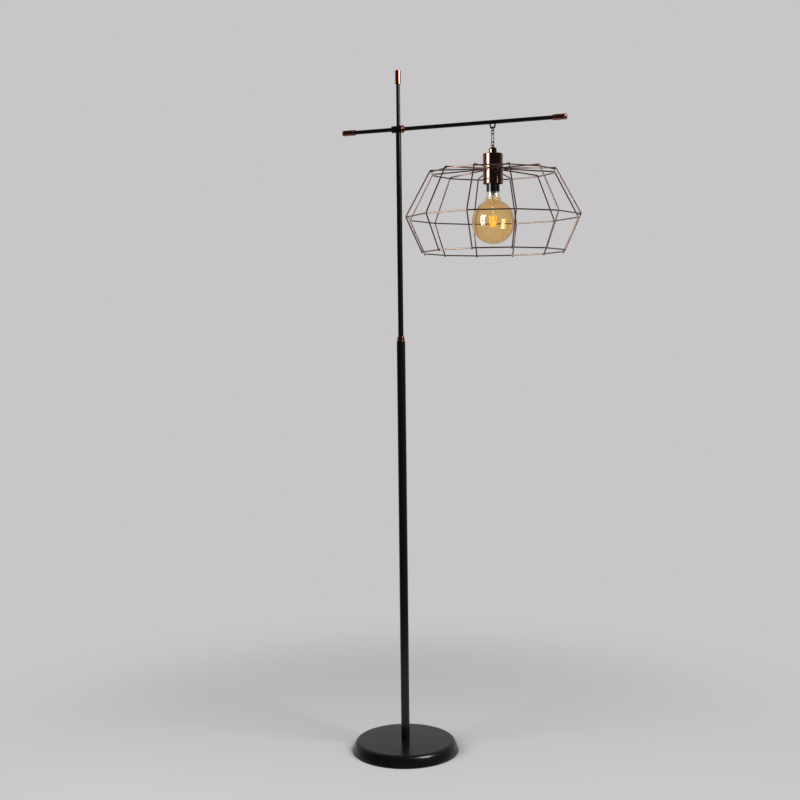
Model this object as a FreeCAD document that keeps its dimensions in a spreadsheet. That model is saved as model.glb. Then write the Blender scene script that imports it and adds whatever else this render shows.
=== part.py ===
import FreeCAD, Part
import math
import os

import Sketcher

# Wire cage floor lamp, in millimetres.
# Origin: centre of the foot's underside, on the floor. +Z is up and +X runs along the
# arm, from the pole towards the hanging cage.

SIZES = (
    # foot
    ("foot_diameter", 252.0, "round foot, over the rim"),
    ("foot_height", 26.0, "floor to the flat top of the foot"),
    ("foot_edge", 12.0, "rounding of the foot's top edge"),
    ("foot_lean", 22.6, "lean of the foot's side from upright, in degrees"),
    ("rim_height", 2.0, "floor to the start of the leaning side"),
    ("cover_wall", 1.5, "sheet thickness of the spun cover"),
    ("cover_lift", 0.8, "rim of the cover above the floor"),
    ("pad_thickness", 3.0, "non-slip pad"),
    ("pad_inset", 1.2, "pad edge inside the rim"),
    ("weight_gap", 0.7, "side gap between weight and cover"),
    ("recess_diameter", 40.0, "nut recess under the weight"),
    ("recess_depth", 12.0, "nut recess, from the pad up"),
    ("channel_width", 10.0, "cable channel under the weight"),
    ("grommet_height", 10.5, "cable outlet above the floor"),
    ("grommet_bore", 6.6, "cable outlet"),
    ("grommet_sleeve", 8.4, "outlet sleeve through the foot's side"),
    ("grommet_flange", 10.6, "outlet flange outside the foot's side"),
    ("grommet_lip", 1.2, "thickness of the outlet flange"),
    ("grommet_length", 6.0, "outlet, over the flange"),
    # threaded tube that ties the foot together
    ("stem_diameter", 9.9, "threaded tube"),
    ("stem_bore", 6.5, "threaded tube, inside"),
    ("stem_tail", 1.2, "threaded tube below the nut"),
    ("stem_engagement", 22.0, "threaded tube inside the pole plug"),
    ("thread_gap", 0.05, "radial gap in every screwed joint"),
    ("nut_flats", 14.0, "hex nut across flats"),
    ("nut_height", 5.0, "nut under the weight"),
    # lower pole
    ("pole_diameter", 20.0, "lower pole"),
    ("pole_wall", 1.2, "lower pole"),
    ("pole_length", 942.0, "lower pole"),
    ("plug_length", 25.0, "plug in the foot of the pole"),
    ("press_gap", 0.02, "radial gap of pieces pressed into a tube"),
    ("bush_length", 22.0, "bush in the top of the pole"),
    ("ferrule_diameter", 15.1, "clamp ring gripped by the collar"),
    ("ferrule_length", 5.0, "clamp ring gripped by the collar"),
    ("ferrule_seat", 10.0, "depth of the clamp ring's seat in the bush"),
    ("turn_gap", 0.05, "radial gap of pieces that turn or slide"),
    ("end_gap", 0.15, "end gap of the clamp ring"),
    # copper collar
    ("collar_foot", 18.6, "collar where it sits on the pole"),
    ("collar_shoulder", 17.0, "collar below its rounded top"),
    ("collar_top", 13.9, "collar at its top"),
    ("collar_cone", 4.5, "height of the collar's cone"),
    ("collar_height", 11.3, "collar above the pole"),
    ("collar_draw", 0.15, "taper of the collar between shoulder and top"),
    ("collar_edge", 1.6, "rounding of the collar's shoulder"),
    ("collar_gap", 0.2, "radial gap between collar and stem"),
    # sliding stem
    ("stem_tube_diameter", 12.5, "upper tube"),
    ("stem_tube_wall", 1.0, "upper tube"),
    ("stem_overlap", 162.0, "upper tube inside the pole"),
    ("guide_length", 20.0, "plastic guide on the tube's end"),
    ("guide_lip", 2.0, "inner lip under the tube's end"),
    ("arm_rise", 486.5, "arm axis above the top of the pole"),
    # cross fitting
    ("barrel_diameter", 16.1, "cross fitting"),
    ("barrel_back", 16.0, "cross fitting behind the stem"),
    ("barrel_front", 9.0, "cross fitting in front of the stem"),
    ("barrel_chamfer", 0.7, "edge of the cross fitting"),
    ("neck_height", 1.0, "neck between barrel and tubes"),
    ("lower_spigot", 14.0, "fitting inside the upper tube"),
    ("upper_spigot", 10.0, "fitting inside the top tube"),
    ("lock_ring_diameter", 18.5, "copper clamp ring"),
    ("lock_ring_width", 2.4, "copper clamp ring"),
    ("lock_spigot_diameter", 10.6, "hub inside the ring and fitting"),
    ("lock_spigot_depth", 4.6, "hub inside the fitting"),
    ("lock_hub_diameter", 12.0, "copper hub round the arm"),
    ("lock_hub_length", 4.6, "copper hub round the arm"),
    # arm, top rod and their caps
    ("arm_diameter", 9.1, "cross arm"),
    ("arm_wall", 1.0, "cross arm"),
    ("arm_back", 140.0, "pole axis to the short end"),
    ("arm_front", 395.5, "pole axis to the long end"),
    ("rod_diameter", 9.0, "top tube"),
    ("rod_wall", 1.0, "top tube"),
    ("rod_rise", 102.6, "arm axis to the top cap"),
    ("rod_in_cap", 20.0, "top tube inside its cap"),
    ("cap_diameter", 13.0, "copper end caps"),
    ("cap_length", 31.0, "copper end caps"),
    ("cap_end", 4.0, "solid end of the arm caps"),
    ("cap_round", 1.8, "rounded end of the caps"),
    ("cap_groove_width", 1.2, "turned groove of the caps"),
    ("cap_groove_depth", 0.5, "turned groove of the caps"),
    ("cap_groove_place", 3.5, "groove from each end of a cap"),
    # staple and chain
    ("hanger_reach", 226.3, "pole axis to the cage axis"),
    ("staple_wire", 3.5, "staple under the arm"),
    ("staple_spread", 11.0, "staple legs, centre to centre"),
    ("staple_drop", 13.45, "arm axis to the staple's lowest centre line"),
    ("staple_entry", 1.5, "staple legs above the inside of the arm wall"),
    ("staple_hole_gap", 0.05, "radial gap of the staple's holes"),
    ("link_wire", 1.8, "chain wire"),
    ("link_spread", 7.2, "link width, centre to centre"),
    ("link_pitch", 9.03, "short link, centre to centre"),
    ("long_link_pitch", 20.7, "long link, centre to centre"),
    ("link_gap", 0.15, "play where two links cross"),
    ("chain_twist", 67.0, "turn of the first link from the arm, in degrees"),
    # cap loop and cover
    ("loop_wire", 2.0, "loop on the neck cap"),
    ("loop_spread", 6.4, "loop legs, centre to centre"),
    ("loop_rise", 4.96, "loop's top centre line above the neck cap"),
    ("loop_entry", 4.5, "loop legs inside the neck cap"),
    ("neck_cap_diameter", 17.8, "neck cap"),
    ("neck_cap_height", 13.9, "neck cap"),
    ("neck_cap_round", 5.2, "rounded top of the neck cap"),
    ("cover_diameter", 45.0, "socket cover"),
    ("cover_height", 66.8, "socket cover"),
    ("cup_wall", 0.8, "socket cover"),
    ("cup_edge", 2.0, "rounded top edge of the socket cover"),
    ("cup_lip", 0.5, "rolled lip of the socket cover"),
    ("cup_lip_height", 1.4, "rolled lip of the socket cover"),
    # inside of the cover
    ("nipple_up", 8.0, "threaded tube inside the neck cap"),
    ("nipple_down", 19.1, "threaded tube below the cover's top"),
    ("nipple_nut_height", 3.0, "nut under the cover's top"),
    ("holder_drop", 13.1, "lamp holder below the cover's top"),
    ("holder_diameter", 29.6, "lamp holder"),
    ("holder_wall", 0.9, "lamp holder shell"),
    ("holder_cap_height", 22.0, "top part of the lamp holder"),
    ("holder_cap_top", 8.0, "solid top of the holder cap"),
    ("holder_cap_wall", 2.2, "side of the holder cap"),
    ("holder_round", 3.0, "rounded top of the lamp holder"),
    ("holder_shell_height", 49.9, "lower part of the lamp holder"),
    ("core_height", 18.0, "insulating core"),
    ("screw_shell_height", 26.0, "screw shell in the holder"),
    ("screw_shell_wall", 0.35, "screw shell in the holder"),
    ("contact_width", 5.0, "centre contact strip"),
    ("contact_thickness", 0.5, "centre contact strip"),
    ("contact_foot", 3.0, "riveted end of the contact strip"),
    ("screw_place", 8.0, "terminal screws from the axis"),
    ("screw_shank", 3.0, "terminal screws"),
    ("screw_length", 6.0, "terminal screws in the core"),
    ("screw_head", 5.5, "terminal screws"),
    ("screw_head_height", 2.2, "terminal screws"),
    # bulb
    ("bulb_diameter", 95.3, "globe"),
    ("bulb_band", 3.8, "straight band at the globe's widest part"),
    ("bulb_wall", 0.8, "glass"),
    ("bulb_neck_round", 8.0, "hollow curve between globe and neck"),
    ("bulb_neck_low", 16.9, "neck radius at its foot"),
    ("bulb_neck_top", 14.6, "neck radius at the holder"),
    ("bulb_neck_length", 13.5, "tapered part of the neck"),
    ("bulb_drop", 116.1, "globe's lowest point below the holder"),
    ("bulb_seal", 12.7, "radius of the glass inside the screw cap"),
    ("bulb_seal_length", 6.5, "glass inside the screw cap"),
    ("bulb_shoulder_gap", 0.3, "glass shoulder below the holder's edge"),
    ("bulb_cap_diameter", 26.4, "screw cap of the bulb"),
    ("bulb_cap_wall", 0.3, "screw cap of the bulb"),
    ("bulb_cap_height", 22.5, "screw cap of the bulb"),
    ("bulb_eye", 13.2, "opening in the top of the screw cap"),
    ("bulb_insulator_top", 10.6, "glass insulator of the bulb, at its top"),
    ("bulb_insulator_height", 2.5, "glass insulator of the bulb"),
    ("bulb_contact_diameter", 6.6, "solder contact of the bulb"),
    ("bulb_contact_height", 2.0, "solder contact of the bulb"),
    ("glass_stem_length", 38.0, "glass stem inside the bulb"),
    ("glass_flare_length", 12.7, "flared top of the glass stem"),
    ("glass_stem_radius", 2.6, "glass stem inside the bulb"),
    ("filament_length", 25.0, "glowing rods"),
    ("filament_thickness", 2.0, "glowing rods"),
    ("filament_top_spread", 9.3, "rods from the axis, at the top"),
    ("filament_low_spread", 5.8, "rods from the axis, at the bottom"),
    ("filament_drop", 52.5, "top of the rods below the holder's edge"),
    ("filament_turn", 34.0, "turn of the rods about the bulb, in degrees"),
    ("filament_gap", 0.4, "solder gap between rod and wire"),
    ("support_wire", 0.8, "support wires of the rods"),
    ("support_mast", 1.6, "support wire down the bulb's axis"),
    # cage
    ("cage_wire", 3.1, "every wire of the cage"),
    ("rib_count", 12.0, "ribs, and corners of each ring"),
    ("rib_turn", 1.6, "first rib from the arm, in degrees"),
    ("hub_drop", 34.1, "spokes below the cover's top"),
    ("top_ring_radius", 140.5, "corners of the top ring"),
    ("top_ring_drop", 7.8, "top ring below the hub ring"),
    ("middle_ring_radius", 195.0, "corners of the middle ring"),
    ("middle_ring_drop", 98.9, "middle ring below the top ring"),
    ("bottom_ring_radius", 160.0, "corners of the bottom ring"),
    ("bottom_ring_drop", 77.1, "bottom ring below the middle ring"),
    ("rib_overrun", 3.2, "rib ends below the bottom ring"),
    ("ring_bend", 4.0, "bend of the rings at each corner"),
    ("weld_gap", 0.04, "gap where cage wires are welded"),
)


class Length:
    """A size of the sheet, or a sum worked out from sizes: an expression and its number."""

    def __init__(self, text, value):
        self.text = text
        self.value = value

    def __add__(self, other):
        other = as_length(other)
        return Length(f"({self.text} + {other.text})", self.value + other.value)

    def __sub__(self, other):
        other = as_length(other)
        return Length(f"({self.text} - {other.text})", self.value - other.value)

    def __mul__(self, other):
        other = as_length(other)
        return Length(f"({self.text} * {other.text})", self.value * other.value)

    def __truediv__(self, other):
        other = as_length(other)
        return Length(f"({self.text} / {other.text})", self.value / other.value)

    def __neg__(self):
        return Length(f"(0 - {self.text})", -self.value)


def as_length(number):
    if isinstance(number, Length):
        return number
    return Length(repr(number), float(number))


def cosine(degrees):
    return Length(f"cos({degrees.text} * 1 deg)", math.cos(math.radians(degrees.value)))


def sine(degrees):
    return Length(f"sin({degrees.text} * 1 deg)", math.sin(math.radians(degrees.value)))


class Sheet:
    """The lamp's driving sizes, each one a cell with a name."""

    def __init__(self, document):
        self.page = document.addObject("Spreadsheet::Sheet", "sizes")
        for row, (name, value, note) in enumerate(SIZES, start=1):
            self.page.set(f"A{row}", name)
            self.page.set(f"B{row}", str(value))
            self.page.set(f"C{row}", note)
            self.page.setAlias(f"B{row}", name)
        document.recompute()

    def __getattr__(self, name):
        return Length(f"sizes.{name}", float(self.page.get(name)))


doc = FreeCAD.newDocument("cage_floor_lamp")
size = Sheet(doc)
nodes = []

VERTICAL = "V_Axis"
LENGTHWISE = "H_Axis"
AXLE_Z = FreeCAD.Vector(0, 0, 1)
AXLE_Y = FreeCAD.Vector(0, 1, 0)
AXLE_X = FreeCAD.Vector(1, 0, 0)


# ---------------------------------------------------------------- sketches and features

def new_body(name):
    body = doc.addObject("PartDesign::Body", name)
    nodes.append(body)
    return body


def origin_plane(body, role):
    """One of the planes or axes that a body has from the start."""
    for feature in body.Origin.OriginFeatures:
        if feature.Role == role:
            return feature
    raise ValueError(role)


def new_sketch(body, name, role="XZ_Plane", offset=None):
    """Empty sketch on one of the body's own planes, raised off it by an offset."""
    sketch = body.newObject("Sketcher::SketchObject", name)
    sketch.AttachmentSupport = [(origin_plane(body, role), "")]
    sketch.MapMode = "FlatFace"
    if offset is not None:
        sketch.setExpression("AttachmentOffset.Base.z", offset.text)
    return sketch


def hold(sketch, kind, where, length):
    """One dimension of a sketch, bound to the sheet. Zero is held by the axis instead."""
    if length.text == "0":
        axis = -2 if kind == "DistanceX" else -1
        sketch.addConstraint(Sketcher.Constraint("PointOnObject", *where, axis))
        return
    constraint = Sketcher.Constraint(kind, -1, 1, *where, length.value)
    index = sketch.addConstraint(constraint)
    sketch.setExpression(f"Constraints[{index}]", length.text)


def hold_point(sketch, where, x, y):
    hold(sketch, "DistanceX", where, as_length(x))
    hold(sketch, "DistanceY", where, as_length(y))


def hold_value(sketch, kind, geometry, length):
    index = sketch.addConstraint(Sketcher.Constraint(kind, geometry, length.value))
    sketch.setExpression(f"Constraints[{index}]", length.text)


def rounding(before, corner, after, radius):
    """Centre, ends and angles of the arc that rounds a corner of an outline."""
    back = (before - corner).normalize()
    ahead = (after - corner).normalize()
    half = math.acos(max(-1.0, min(1.0, back.dot(ahead)))) / 2
    run = radius / math.tan(half)
    centre = corner + (back + ahead).normalize() * (radius / math.sin(half))
    first = corner + back * run
    last = corner + ahead * run
    turns_left = (corner - before).cross(after - corner).z > 0
    start, end = (first, last) if turns_left else (last, first)
    angles = [math.atan2(point.y - centre.y, point.x - centre.x) for point in (start, end)]
    if angles[1] < angles[0]:
        angles[1] += 2 * math.pi
    return centre, first, last, angles, turns_left


def draw(sketch, corners, closed=True):
    """Straight runs through the corners. A corner given as (x, y, radius) is rounded."""
    corners = [tuple(as_length(number) for number in corner) for corner in corners]
    points = [FreeCAD.Vector(corner[0].value, corner[1].value, 0) for corner in corners]
    count = len(points)
    starts, ends, arcs = list(points), list(points), {}
    for index, corner in enumerate(corners):
        if len(corner) == 3:
            around = points[index - 1], points[index], points[(index + 1) % count]
            arcs[index] = rounding(*around, corner[2].value)
            ends[index], starts[index] = arcs[index][1], arcs[index][2]
    runs = {}
    for index in range(count if closed else count - 1):
        following = (index + 1) % count
        runs[index] = sketch.addGeometry(Part.LineSegment(starts[index], ends[following]))
    for index, corner in enumerate(corners):
        before, after = runs.get(index - 1 if index else count - 1), runs.get(index)
        if index in arcs:
            round_corner(sketch, corner, points[index], arcs[index], before, after)
            continue
        if before is not None and after is not None:
            sketch.addConstraint(Sketcher.Constraint("Coincident", before, 2, after, 1))
        where = (after, 1) if after is not None else (before, 2)
        hold_point(sketch, where, corner[0], corner[1])


def round_corner(sketch, corner, point, rounded, before, after):
    """Arc between two runs that both aim at the corner point."""
    centre, _, _, angles, turns_left = rounded
    radius = corner[2]
    mark = sketch.addGeometry(Part.Point(point), True)
    hold_point(sketch, (mark, 1), corner[0], corner[1])
    sketch.addConstraint(Sketcher.Constraint("PointOnObject", mark, 1, before))
    sketch.addConstraint(Sketcher.Constraint("PointOnObject", mark, 1, after))
    circle = Part.Circle(centre, AXLE_Z, radius.value)
    arc = sketch.addGeometry(Part.ArcOfCircle(circle, *angles))
    first, last = (1, 2) if turns_left else (2, 1)
    sketch.addConstraint(Sketcher.Constraint("Tangent", before, 2, arc, first))
    sketch.addConstraint(Sketcher.Constraint("Tangent", arc, last, after, 1))
    hold_value(sketch, "Radius", arc, radius)


def draw_circle(sketch, diameter, x=0, y=0):
    x, y = as_length(x), as_length(y)
    centre = FreeCAD.Vector(x.value, y.value, 0)
    circle = sketch.addGeometry(Part.Circle(centre, AXLE_Z, diameter.value / 2))
    if x.text == "0" and y.text == "0":
        sketch.addConstraint(Sketcher.Constraint("Coincident", circle, 3, -1, 1))
    else:
        hold_point(sketch, (circle, 3), x, y)
    hold_value(sketch, "Diameter", circle, diameter)


def revolve(body, name, corners, axis=VERTICAL):
    """Solid turned from a half outline in the body's XZ plane."""
    sketch = new_sketch(body, f"{name}_outline")
    draw(sketch, corners)
    turned = body.newObject("PartDesign::Revolution", name)
    turned.Profile = sketch
    turned.ReferenceAxis = (sketch, [axis])
    turned.Angle = 360
    return turned


def groove(body, name, corners, axis=VERTICAL):
    """Material turned away inside a half outline in the body's XZ plane."""
    doc.recompute()
    sketch = new_sketch(body, f"{name}_outline")
    draw(sketch, corners)
    cut = body.newObject("PartDesign::Groove", name)
    cut.Profile = sketch
    cut.ReferenceAxis = (sketch, [axis])
    cut.Angle = 360
    return cut


def pad(body, name, sketch, length):
    solid = body.newObject("PartDesign::Pad", name)
    solid.Profile = sketch
    solid.setExpression("Length", length.text)
    return solid


def pocket(body, name, sketch, length, both_ways=False):
    doc.recompute()
    cut = body.newObject("PartDesign::Pocket", name)
    cut.Profile = sketch
    if both_ways:
        cut.SideType = "Symmetric"
    cut.setExpression("Length", length.text)
    return cut


def sweep(body, name, path, section):
    doc.recompute()
    pipe = body.newObject("PartDesign::AdditivePipe", name)
    pipe.Profile = section
    pipe.Spine = (path, [])
    return pipe


def repeat_round(body, name, feature, count):
    """Copies of a feature, evenly spread about the body's own Z axis."""
    doc.recompute()
    pattern = body.newObject("PartDesign::PolarPattern", name)
    pattern.Originals = [feature]
    pattern.Axis = (origin_plane(body, "Z_Axis"), [""])
    pattern.Angle = 360
    pattern.setExpression("Occurrences", count.text)
    body.Tip = pattern
    return pattern


def place(thing, x=0, y=0, z=0, angle=0, axis=AXLE_Z, frame="Placement"):
    """Stand a body, or a sketch in its body, at a point, turned about one axis by degrees."""
    angle = as_length(angle)
    turned = FreeCAD.Placement(FreeCAD.Vector(), FreeCAD.Rotation(axis, angle.value))
    setattr(thing, frame, turned)
    for letter, value in zip("xyz", (x, y, z)):
        thing.setExpression(f"{frame}.Base.{letter}", as_length(value).text)
    if angle.text != "0":
        thing.setExpression(f"{frame}.Rotation.Angle", angle.text)


def tube(name, diameter, wall, length):
    """Plain round tube that starts at the body's origin and runs up its Z axis."""
    body = new_body(name)
    section = new_sketch(body, f"{name}_section", "XY_Plane")
    draw_circle(section, diameter)
    draw_circle(section, diameter - wall * 2)
    pad(body, f"{name}_run", section, length)
    return body


# ---------------------------------------------------------------- heights and radii used twice

NUT_SEAT = size.pad_thickness + size.recess_depth
PLATE_UNDERSIDE = size.foot_height - size.cover_wall
POLE_TOP = size.foot_height + size.pole_length
POLE_BORE = size.pole_diameter - size.pole_wall * 2
TIE_HOLE = size.stem_diameter / 2 + size.thread_gap
STEM_RADIUS = size.stem_tube_diameter / 2
ARM_HEIGHT = POLE_TOP + size.arm_rise
ARM_HOLE = size.arm_diameter / 2 + size.turn_gap
NECK_END = size.barrel_diameter / 2 + size.neck_height
OUTLET_TURN = size.foot_lean - 90

LINK_STEP = size.link_wire + size.link_gap
STAPLE_LOW = ARM_HEIGHT - size.staple_drop
LINK_1_TOP = STAPLE_LOW + (size.staple_wire + size.link_wire) / 2 + size.link_gap
LINK_2_TOP = LINK_1_TOP - size.link_pitch + LINK_STEP
LINK_3_TOP = LINK_2_TOP - size.link_pitch + LINK_STEP
LINK_4_TOP = LINK_3_TOP - size.long_link_pitch + LINK_STEP
LINK_4_LOW = LINK_4_TOP - size.link_pitch
LOOP_TOP = LINK_4_LOW + (size.link_wire + size.loop_wire) / 2 + size.link_gap
NECK_CAP_TOP = LOOP_TOP - size.loop_rise
CUP_TOP = NECK_CAP_TOP - size.neck_cap_height
HOLDER_TOP = CUP_TOP - size.holder_drop
CORE_TOP = HOLDER_TOP - size.holder_cap_height
HOLDER_LOW = CORE_TOP - size.holder_shell_height
HOLDER_BORE = size.holder_diameter / 2 - size.holder_wall
CORE_LOW = CORE_TOP - size.core_height

WELD_STEP = size.cage_wire + size.weld_gap
HUB_HEIGHT = CUP_TOP - size.hub_drop
HUB_RADIUS = size.cover_diameter / 2 + size.weld_gap + size.cage_wire / 2
TOP_RING_HEIGHT = HUB_HEIGHT - size.top_ring_drop
MIDDLE_RING_HEIGHT = TOP_RING_HEIGHT - size.middle_ring_drop
BOTTOM_RING_HEIGHT = MIDDLE_RING_HEIGHT - size.bottom_ring_drop


# ---------------------------------------------------------------- foot

def foot_side(height, inset=0):
    """Radius of the foot's leaning side at a height, at an inset square to the sheet."""
    lean_in = (height - size.rim_height) * sine(size.foot_lean)
    return size.foot_diameter / 2 - (lean_in + inset) / cosine(size.foot_lean)


def outlet_point(out):
    """Y and Z of the point on the cable outlet's axis that lies this far outside the foot."""
    y = foot_side(size.grommet_height) + cosine(size.foot_lean) * out
    return y, size.grommet_height + sine(size.foot_lean) * out


def base_cover():
    """Spun dish: flat top, rounded edge, and a leaning side that hides the weight."""
    rim = size.foot_diameter / 2
    body = new_body("base_cover")
    revolve(body, "dish", [
        (rim, size.cover_lift),
        (rim, size.rim_height),
        (foot_side(size.foot_height), size.foot_height, size.foot_edge),
        (TIE_HOLE, size.foot_height),
        (TIE_HOLE, PLATE_UNDERSIDE),
        (foot_side(PLATE_UNDERSIDE, size.cover_wall), PLATE_UNDERSIDE, size.foot_edge - size.cover_wall),
        (foot_side(size.cover_lift, size.cover_wall), size.cover_lift),
    ])
    outlet = new_sketch(body, "outlet_hole", "XY_Plane")
    draw_circle(outlet, size.grommet_sleeve + size.press_gap * 2)
    place(outlet, 0, *outlet_point(size.grommet_lip), OUTLET_TURN, AXLE_X, "AttachmentOffset")
    pocket(body, "outlet", outlet, size.grommet_length)


def base_weight():
    """Cast disc that fills the dish, with a nut recess and a cable channel below."""
    inset = size.cover_wall + size.weight_gap
    body = new_body("base_weight")
    revolve(body, "disc", [
        (TIE_HOLE, NUT_SEAT),
        (size.recess_diameter / 2, NUT_SEAT),
        (size.recess_diameter / 2, size.pad_thickness),
        (foot_side(size.pad_thickness, inset), size.pad_thickness),
        (foot_side(PLATE_UNDERSIDE, inset), PLATE_UNDERSIDE, size.foot_edge - size.cover_wall),
        (TIE_HOLE, PLATE_UNDERSIDE),
    ])
    channel = new_sketch(body, "channel_outline", "XZ_Plane")
    side = size.channel_width / 2
    draw(channel, [(-side, 0), (side, 0), (side, NUT_SEAT), (-side, NUT_SEAT)])
    pocket(body, "channel", channel, size.foot_diameter)


def base_pad():
    """Disc that closes the foot and stands on the floor."""
    body = new_body("base_pad")
    section = new_sketch(body, "pad_section", "XY_Plane")
    draw_circle(section, size.foot_diameter - size.cover_wall * 2 - size.pad_inset * 2)
    pad(body, "disc", section, size.pad_thickness)


def cord_grommet():
    """Cable outlet square to the foot's side: a sleeve through it, a flange outside."""
    body = new_body("cord_grommet")
    bore = size.grommet_bore / 2
    sleeve = size.grommet_sleeve / 2
    flange = size.grommet_flange / 2
    end = size.grommet_length
    revolve(body, "outlet", [
        (bore, 0),
        (sleeve, 0),
        (sleeve, end - size.grommet_lip),
        (flange, end - size.grommet_lip),
        (flange, end, size.grommet_lip / 2),
        (bore, end),
    ])
    inner_end = outlet_point(size.press_gap * 2 + size.grommet_lip - end)
    place(body, 0, *inner_end, OUTLET_TURN, AXLE_X)


def base_stem():
    """Threaded tube that ties the pole's plug, the dish and the weight together."""
    low = NUT_SEAT - size.nut_height - size.stem_tail
    top = size.foot_height + size.stem_engagement
    body = tube("base_stem", size.stem_diameter, (size.stem_diameter - size.stem_bore) / 2, top - low)
    place(body, 0, 0, low)


def hex_nut(name, height, x, low):
    """Hex nut on a threaded tube."""
    body = new_body(name)
    section = new_sketch(body, f"{name}_section", "XY_Plane")
    across = size.nut_flats / as_length(2) / cosine(as_length(30))
    corners = []
    for corner in range(6):
        turn = as_length(60 * corner)
        corners.append((across * cosine(turn), across * sine(turn)))
    draw(section, corners)
    draw_circle(section, TIE_HOLE * 2)
    pad(body, f"{name}_block", section, height)
    place(body, x, 0, low)


def lower_pole():
    body = tube("lower_pole", size.pole_diameter, size.pole_wall, size.pole_length)
    place(body, 0, 0, size.foot_height)


def pole_foot_plug():
    """Plug pressed into the foot of the pole, threaded for the tie tube."""
    outside = POLE_BORE - size.press_gap * 2
    wall = outside / 2 - TIE_HOLE
    body = tube("pole_foot_plug", outside, wall, size.plug_length)
    place(body, 0, 0, size.foot_height)


def top_bush():
    """Bush pressed into the top of the pole, bored for the stem and the clamp ring."""
    outside = POLE_BORE / 2 - size.press_gap
    bore = STEM_RADIUS + size.turn_gap
    seat = size.ferrule_diameter / 2 + size.turn_gap
    body = new_body("top_bush")
    revolve(body, "bush", [
        (bore, 0),
        (outside, 0),
        (outside, size.bush_length),
        (seat, size.bush_length),
        (seat, size.bush_length - size.ferrule_seat),
        (bore, size.bush_length - size.ferrule_seat),
    ])
    place(body, 0, 0, POLE_TOP - size.bush_length)


def copper_collar():
    """Collar on top of the pole: a cone with a rounded shoulder, over a hidden spigot."""
    spigot = size.ferrule_seat - size.ferrule_length - size.end_gap * 2
    bore = STEM_RADIUS + size.collar_gap
    spigot_radius = size.ferrule_diameter / 2
    body = new_body("copper_collar")
    revolve(body, "collar", [
        (bore, -spigot),
        (spigot_radius, -spigot),
        (spigot_radius, 0),
        (size.collar_foot / 2, 0),
        (size.collar_shoulder / 2, size.collar_cone),
        (
            size.collar_shoulder / 2 - size.collar_draw,
            size.collar_height - size.collar_edge,
            size.collar_edge,
        ),
        (size.collar_top / 2, size.collar_height),
        (bore, size.collar_height),
    ])
    place(body, 0, 0, POLE_TOP)


# ---------------------------------------------------------------- sliding stem

def clamp_ferrule():
    """Clamp ring that the collar squeezes on the stem; it turns with the stem."""
    bore = STEM_RADIUS + size.turn_gap / 2
    wall = size.ferrule_diameter / 2 - bore
    body = tube("clamp_ferrule", size.ferrule_diameter, wall, size.ferrule_length)
    place(body, 0, 0, POLE_TOP - size.ferrule_seat + size.end_gap)


def upper_tube():
    low = POLE_TOP - size.stem_overlap
    top = ARM_HEIGHT - NECK_END
    body = tube("upper_tube", size.stem_tube_diameter, size.stem_tube_wall, top - low)
    place(body, 0, 0, low)


def slide_guide():
    """Plastic guide on the tube's lower end that runs in the pole."""
    outside = POLE_BORE / 2 - size.turn_gap
    inside = STEM_RADIUS + size.press_gap
    lip = STEM_RADIUS - size.stem_tube_wall
    body = new_body("slide_guide")
    revolve(body, "guide", [
        (lip, -size.guide_lip),
        (outside, -size.guide_lip),
        (outside, size.guide_length - size.guide_lip),
        (inside, size.guide_length - size.guide_lip),
        (inside, 0),
        (lip, 0),
    ])
    place(body, 0, 0, POLE_TOP - size.stem_overlap)


def cross_barrel():
    """Cross fitting: a barrel along the arm on a necked column that enters both tubes."""
    radius = size.barrel_diameter / 2
    chamfer = size.barrel_chamfer
    seat = size.lock_spigot_diameter / 2 + size.press_gap
    seat_end = size.barrel_front - size.lock_spigot_depth - size.end_gap
    lower_spigot = STEM_RADIUS - size.stem_tube_wall - size.press_gap
    upper_spigot = size.rod_diameter / 2 - size.rod_wall - size.press_gap
    body = new_body("cross_barrel")
    revolve(body, "column", [
        (0, -NECK_END - size.lower_spigot),
        (lower_spigot, -NECK_END - size.lower_spigot),
        (lower_spigot, -NECK_END),
        (STEM_RADIUS, -NECK_END),
        (STEM_RADIUS, 0),
        (size.rod_diameter / 2, 0),
        (size.rod_diameter / 2, NECK_END),
        (upper_spigot, NECK_END),
        (upper_spigot, NECK_END + size.upper_spigot),
        (0, NECK_END + size.upper_spigot),
    ])
    doc.recompute()
    revolve(body, "barrel", [
        (-size.barrel_back, 0),
        (-size.barrel_back, radius - chamfer),
        (-size.barrel_back + chamfer, radius),
        (size.barrel_front - chamfer, radius),
        (size.barrel_front, radius - chamfer),
        (size.barrel_front, 0),
    ], LENGTHWISE)
    groove(body, "arm_bore", [
        (-size.barrel_back, 0),
        (-size.barrel_back, ARM_HOLE),
        (seat_end, ARM_HOLE),
        (seat_end, seat),
        (size.barrel_front, seat),
        (size.barrel_front, 0),
    ], LENGTHWISE)
    place(body, 0, 0, ARM_HEIGHT)


def arm_lock_ring():
    """Thin copper ring clamped between the fitting and its hub."""
    hole = size.lock_spigot_diameter / 2 + size.press_gap
    rim = size.lock_ring_diameter / 2
    edge = size.lock_ring_width / 4
    body = new_body("arm_lock_ring")
    revolve(body, "ring", [
        (hole, 0),
        (rim, 0, edge),
        (rim, size.lock_ring_width, edge),
        (hole, size.lock_ring_width),
    ])
    place(body, size.barrel_front, 0, ARM_HEIGHT, 90, AXLE_Y)


def arm_lock_nut():
    """Copper hub that screws through the ring into the fitting and grips the arm."""
    spigot = size.lock_spigot_diameter / 2
    hub = size.lock_hub_diameter / 2
    start = -size.lock_spigot_depth - size.lock_ring_width
    body = new_body("arm_lock_nut")
    revolve(body, "hub", [
        (ARM_HOLE, start),
        (spigot, start),
        (spigot, 0),
        (hub, 0),
        (hub, size.lock_hub_length, size.barrel_chamfer),
        (ARM_HOLE, size.lock_hub_length),
    ])
    place(body, size.barrel_front + size.lock_ring_width, 0, ARM_HEIGHT, 90, AXLE_Y)


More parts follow.
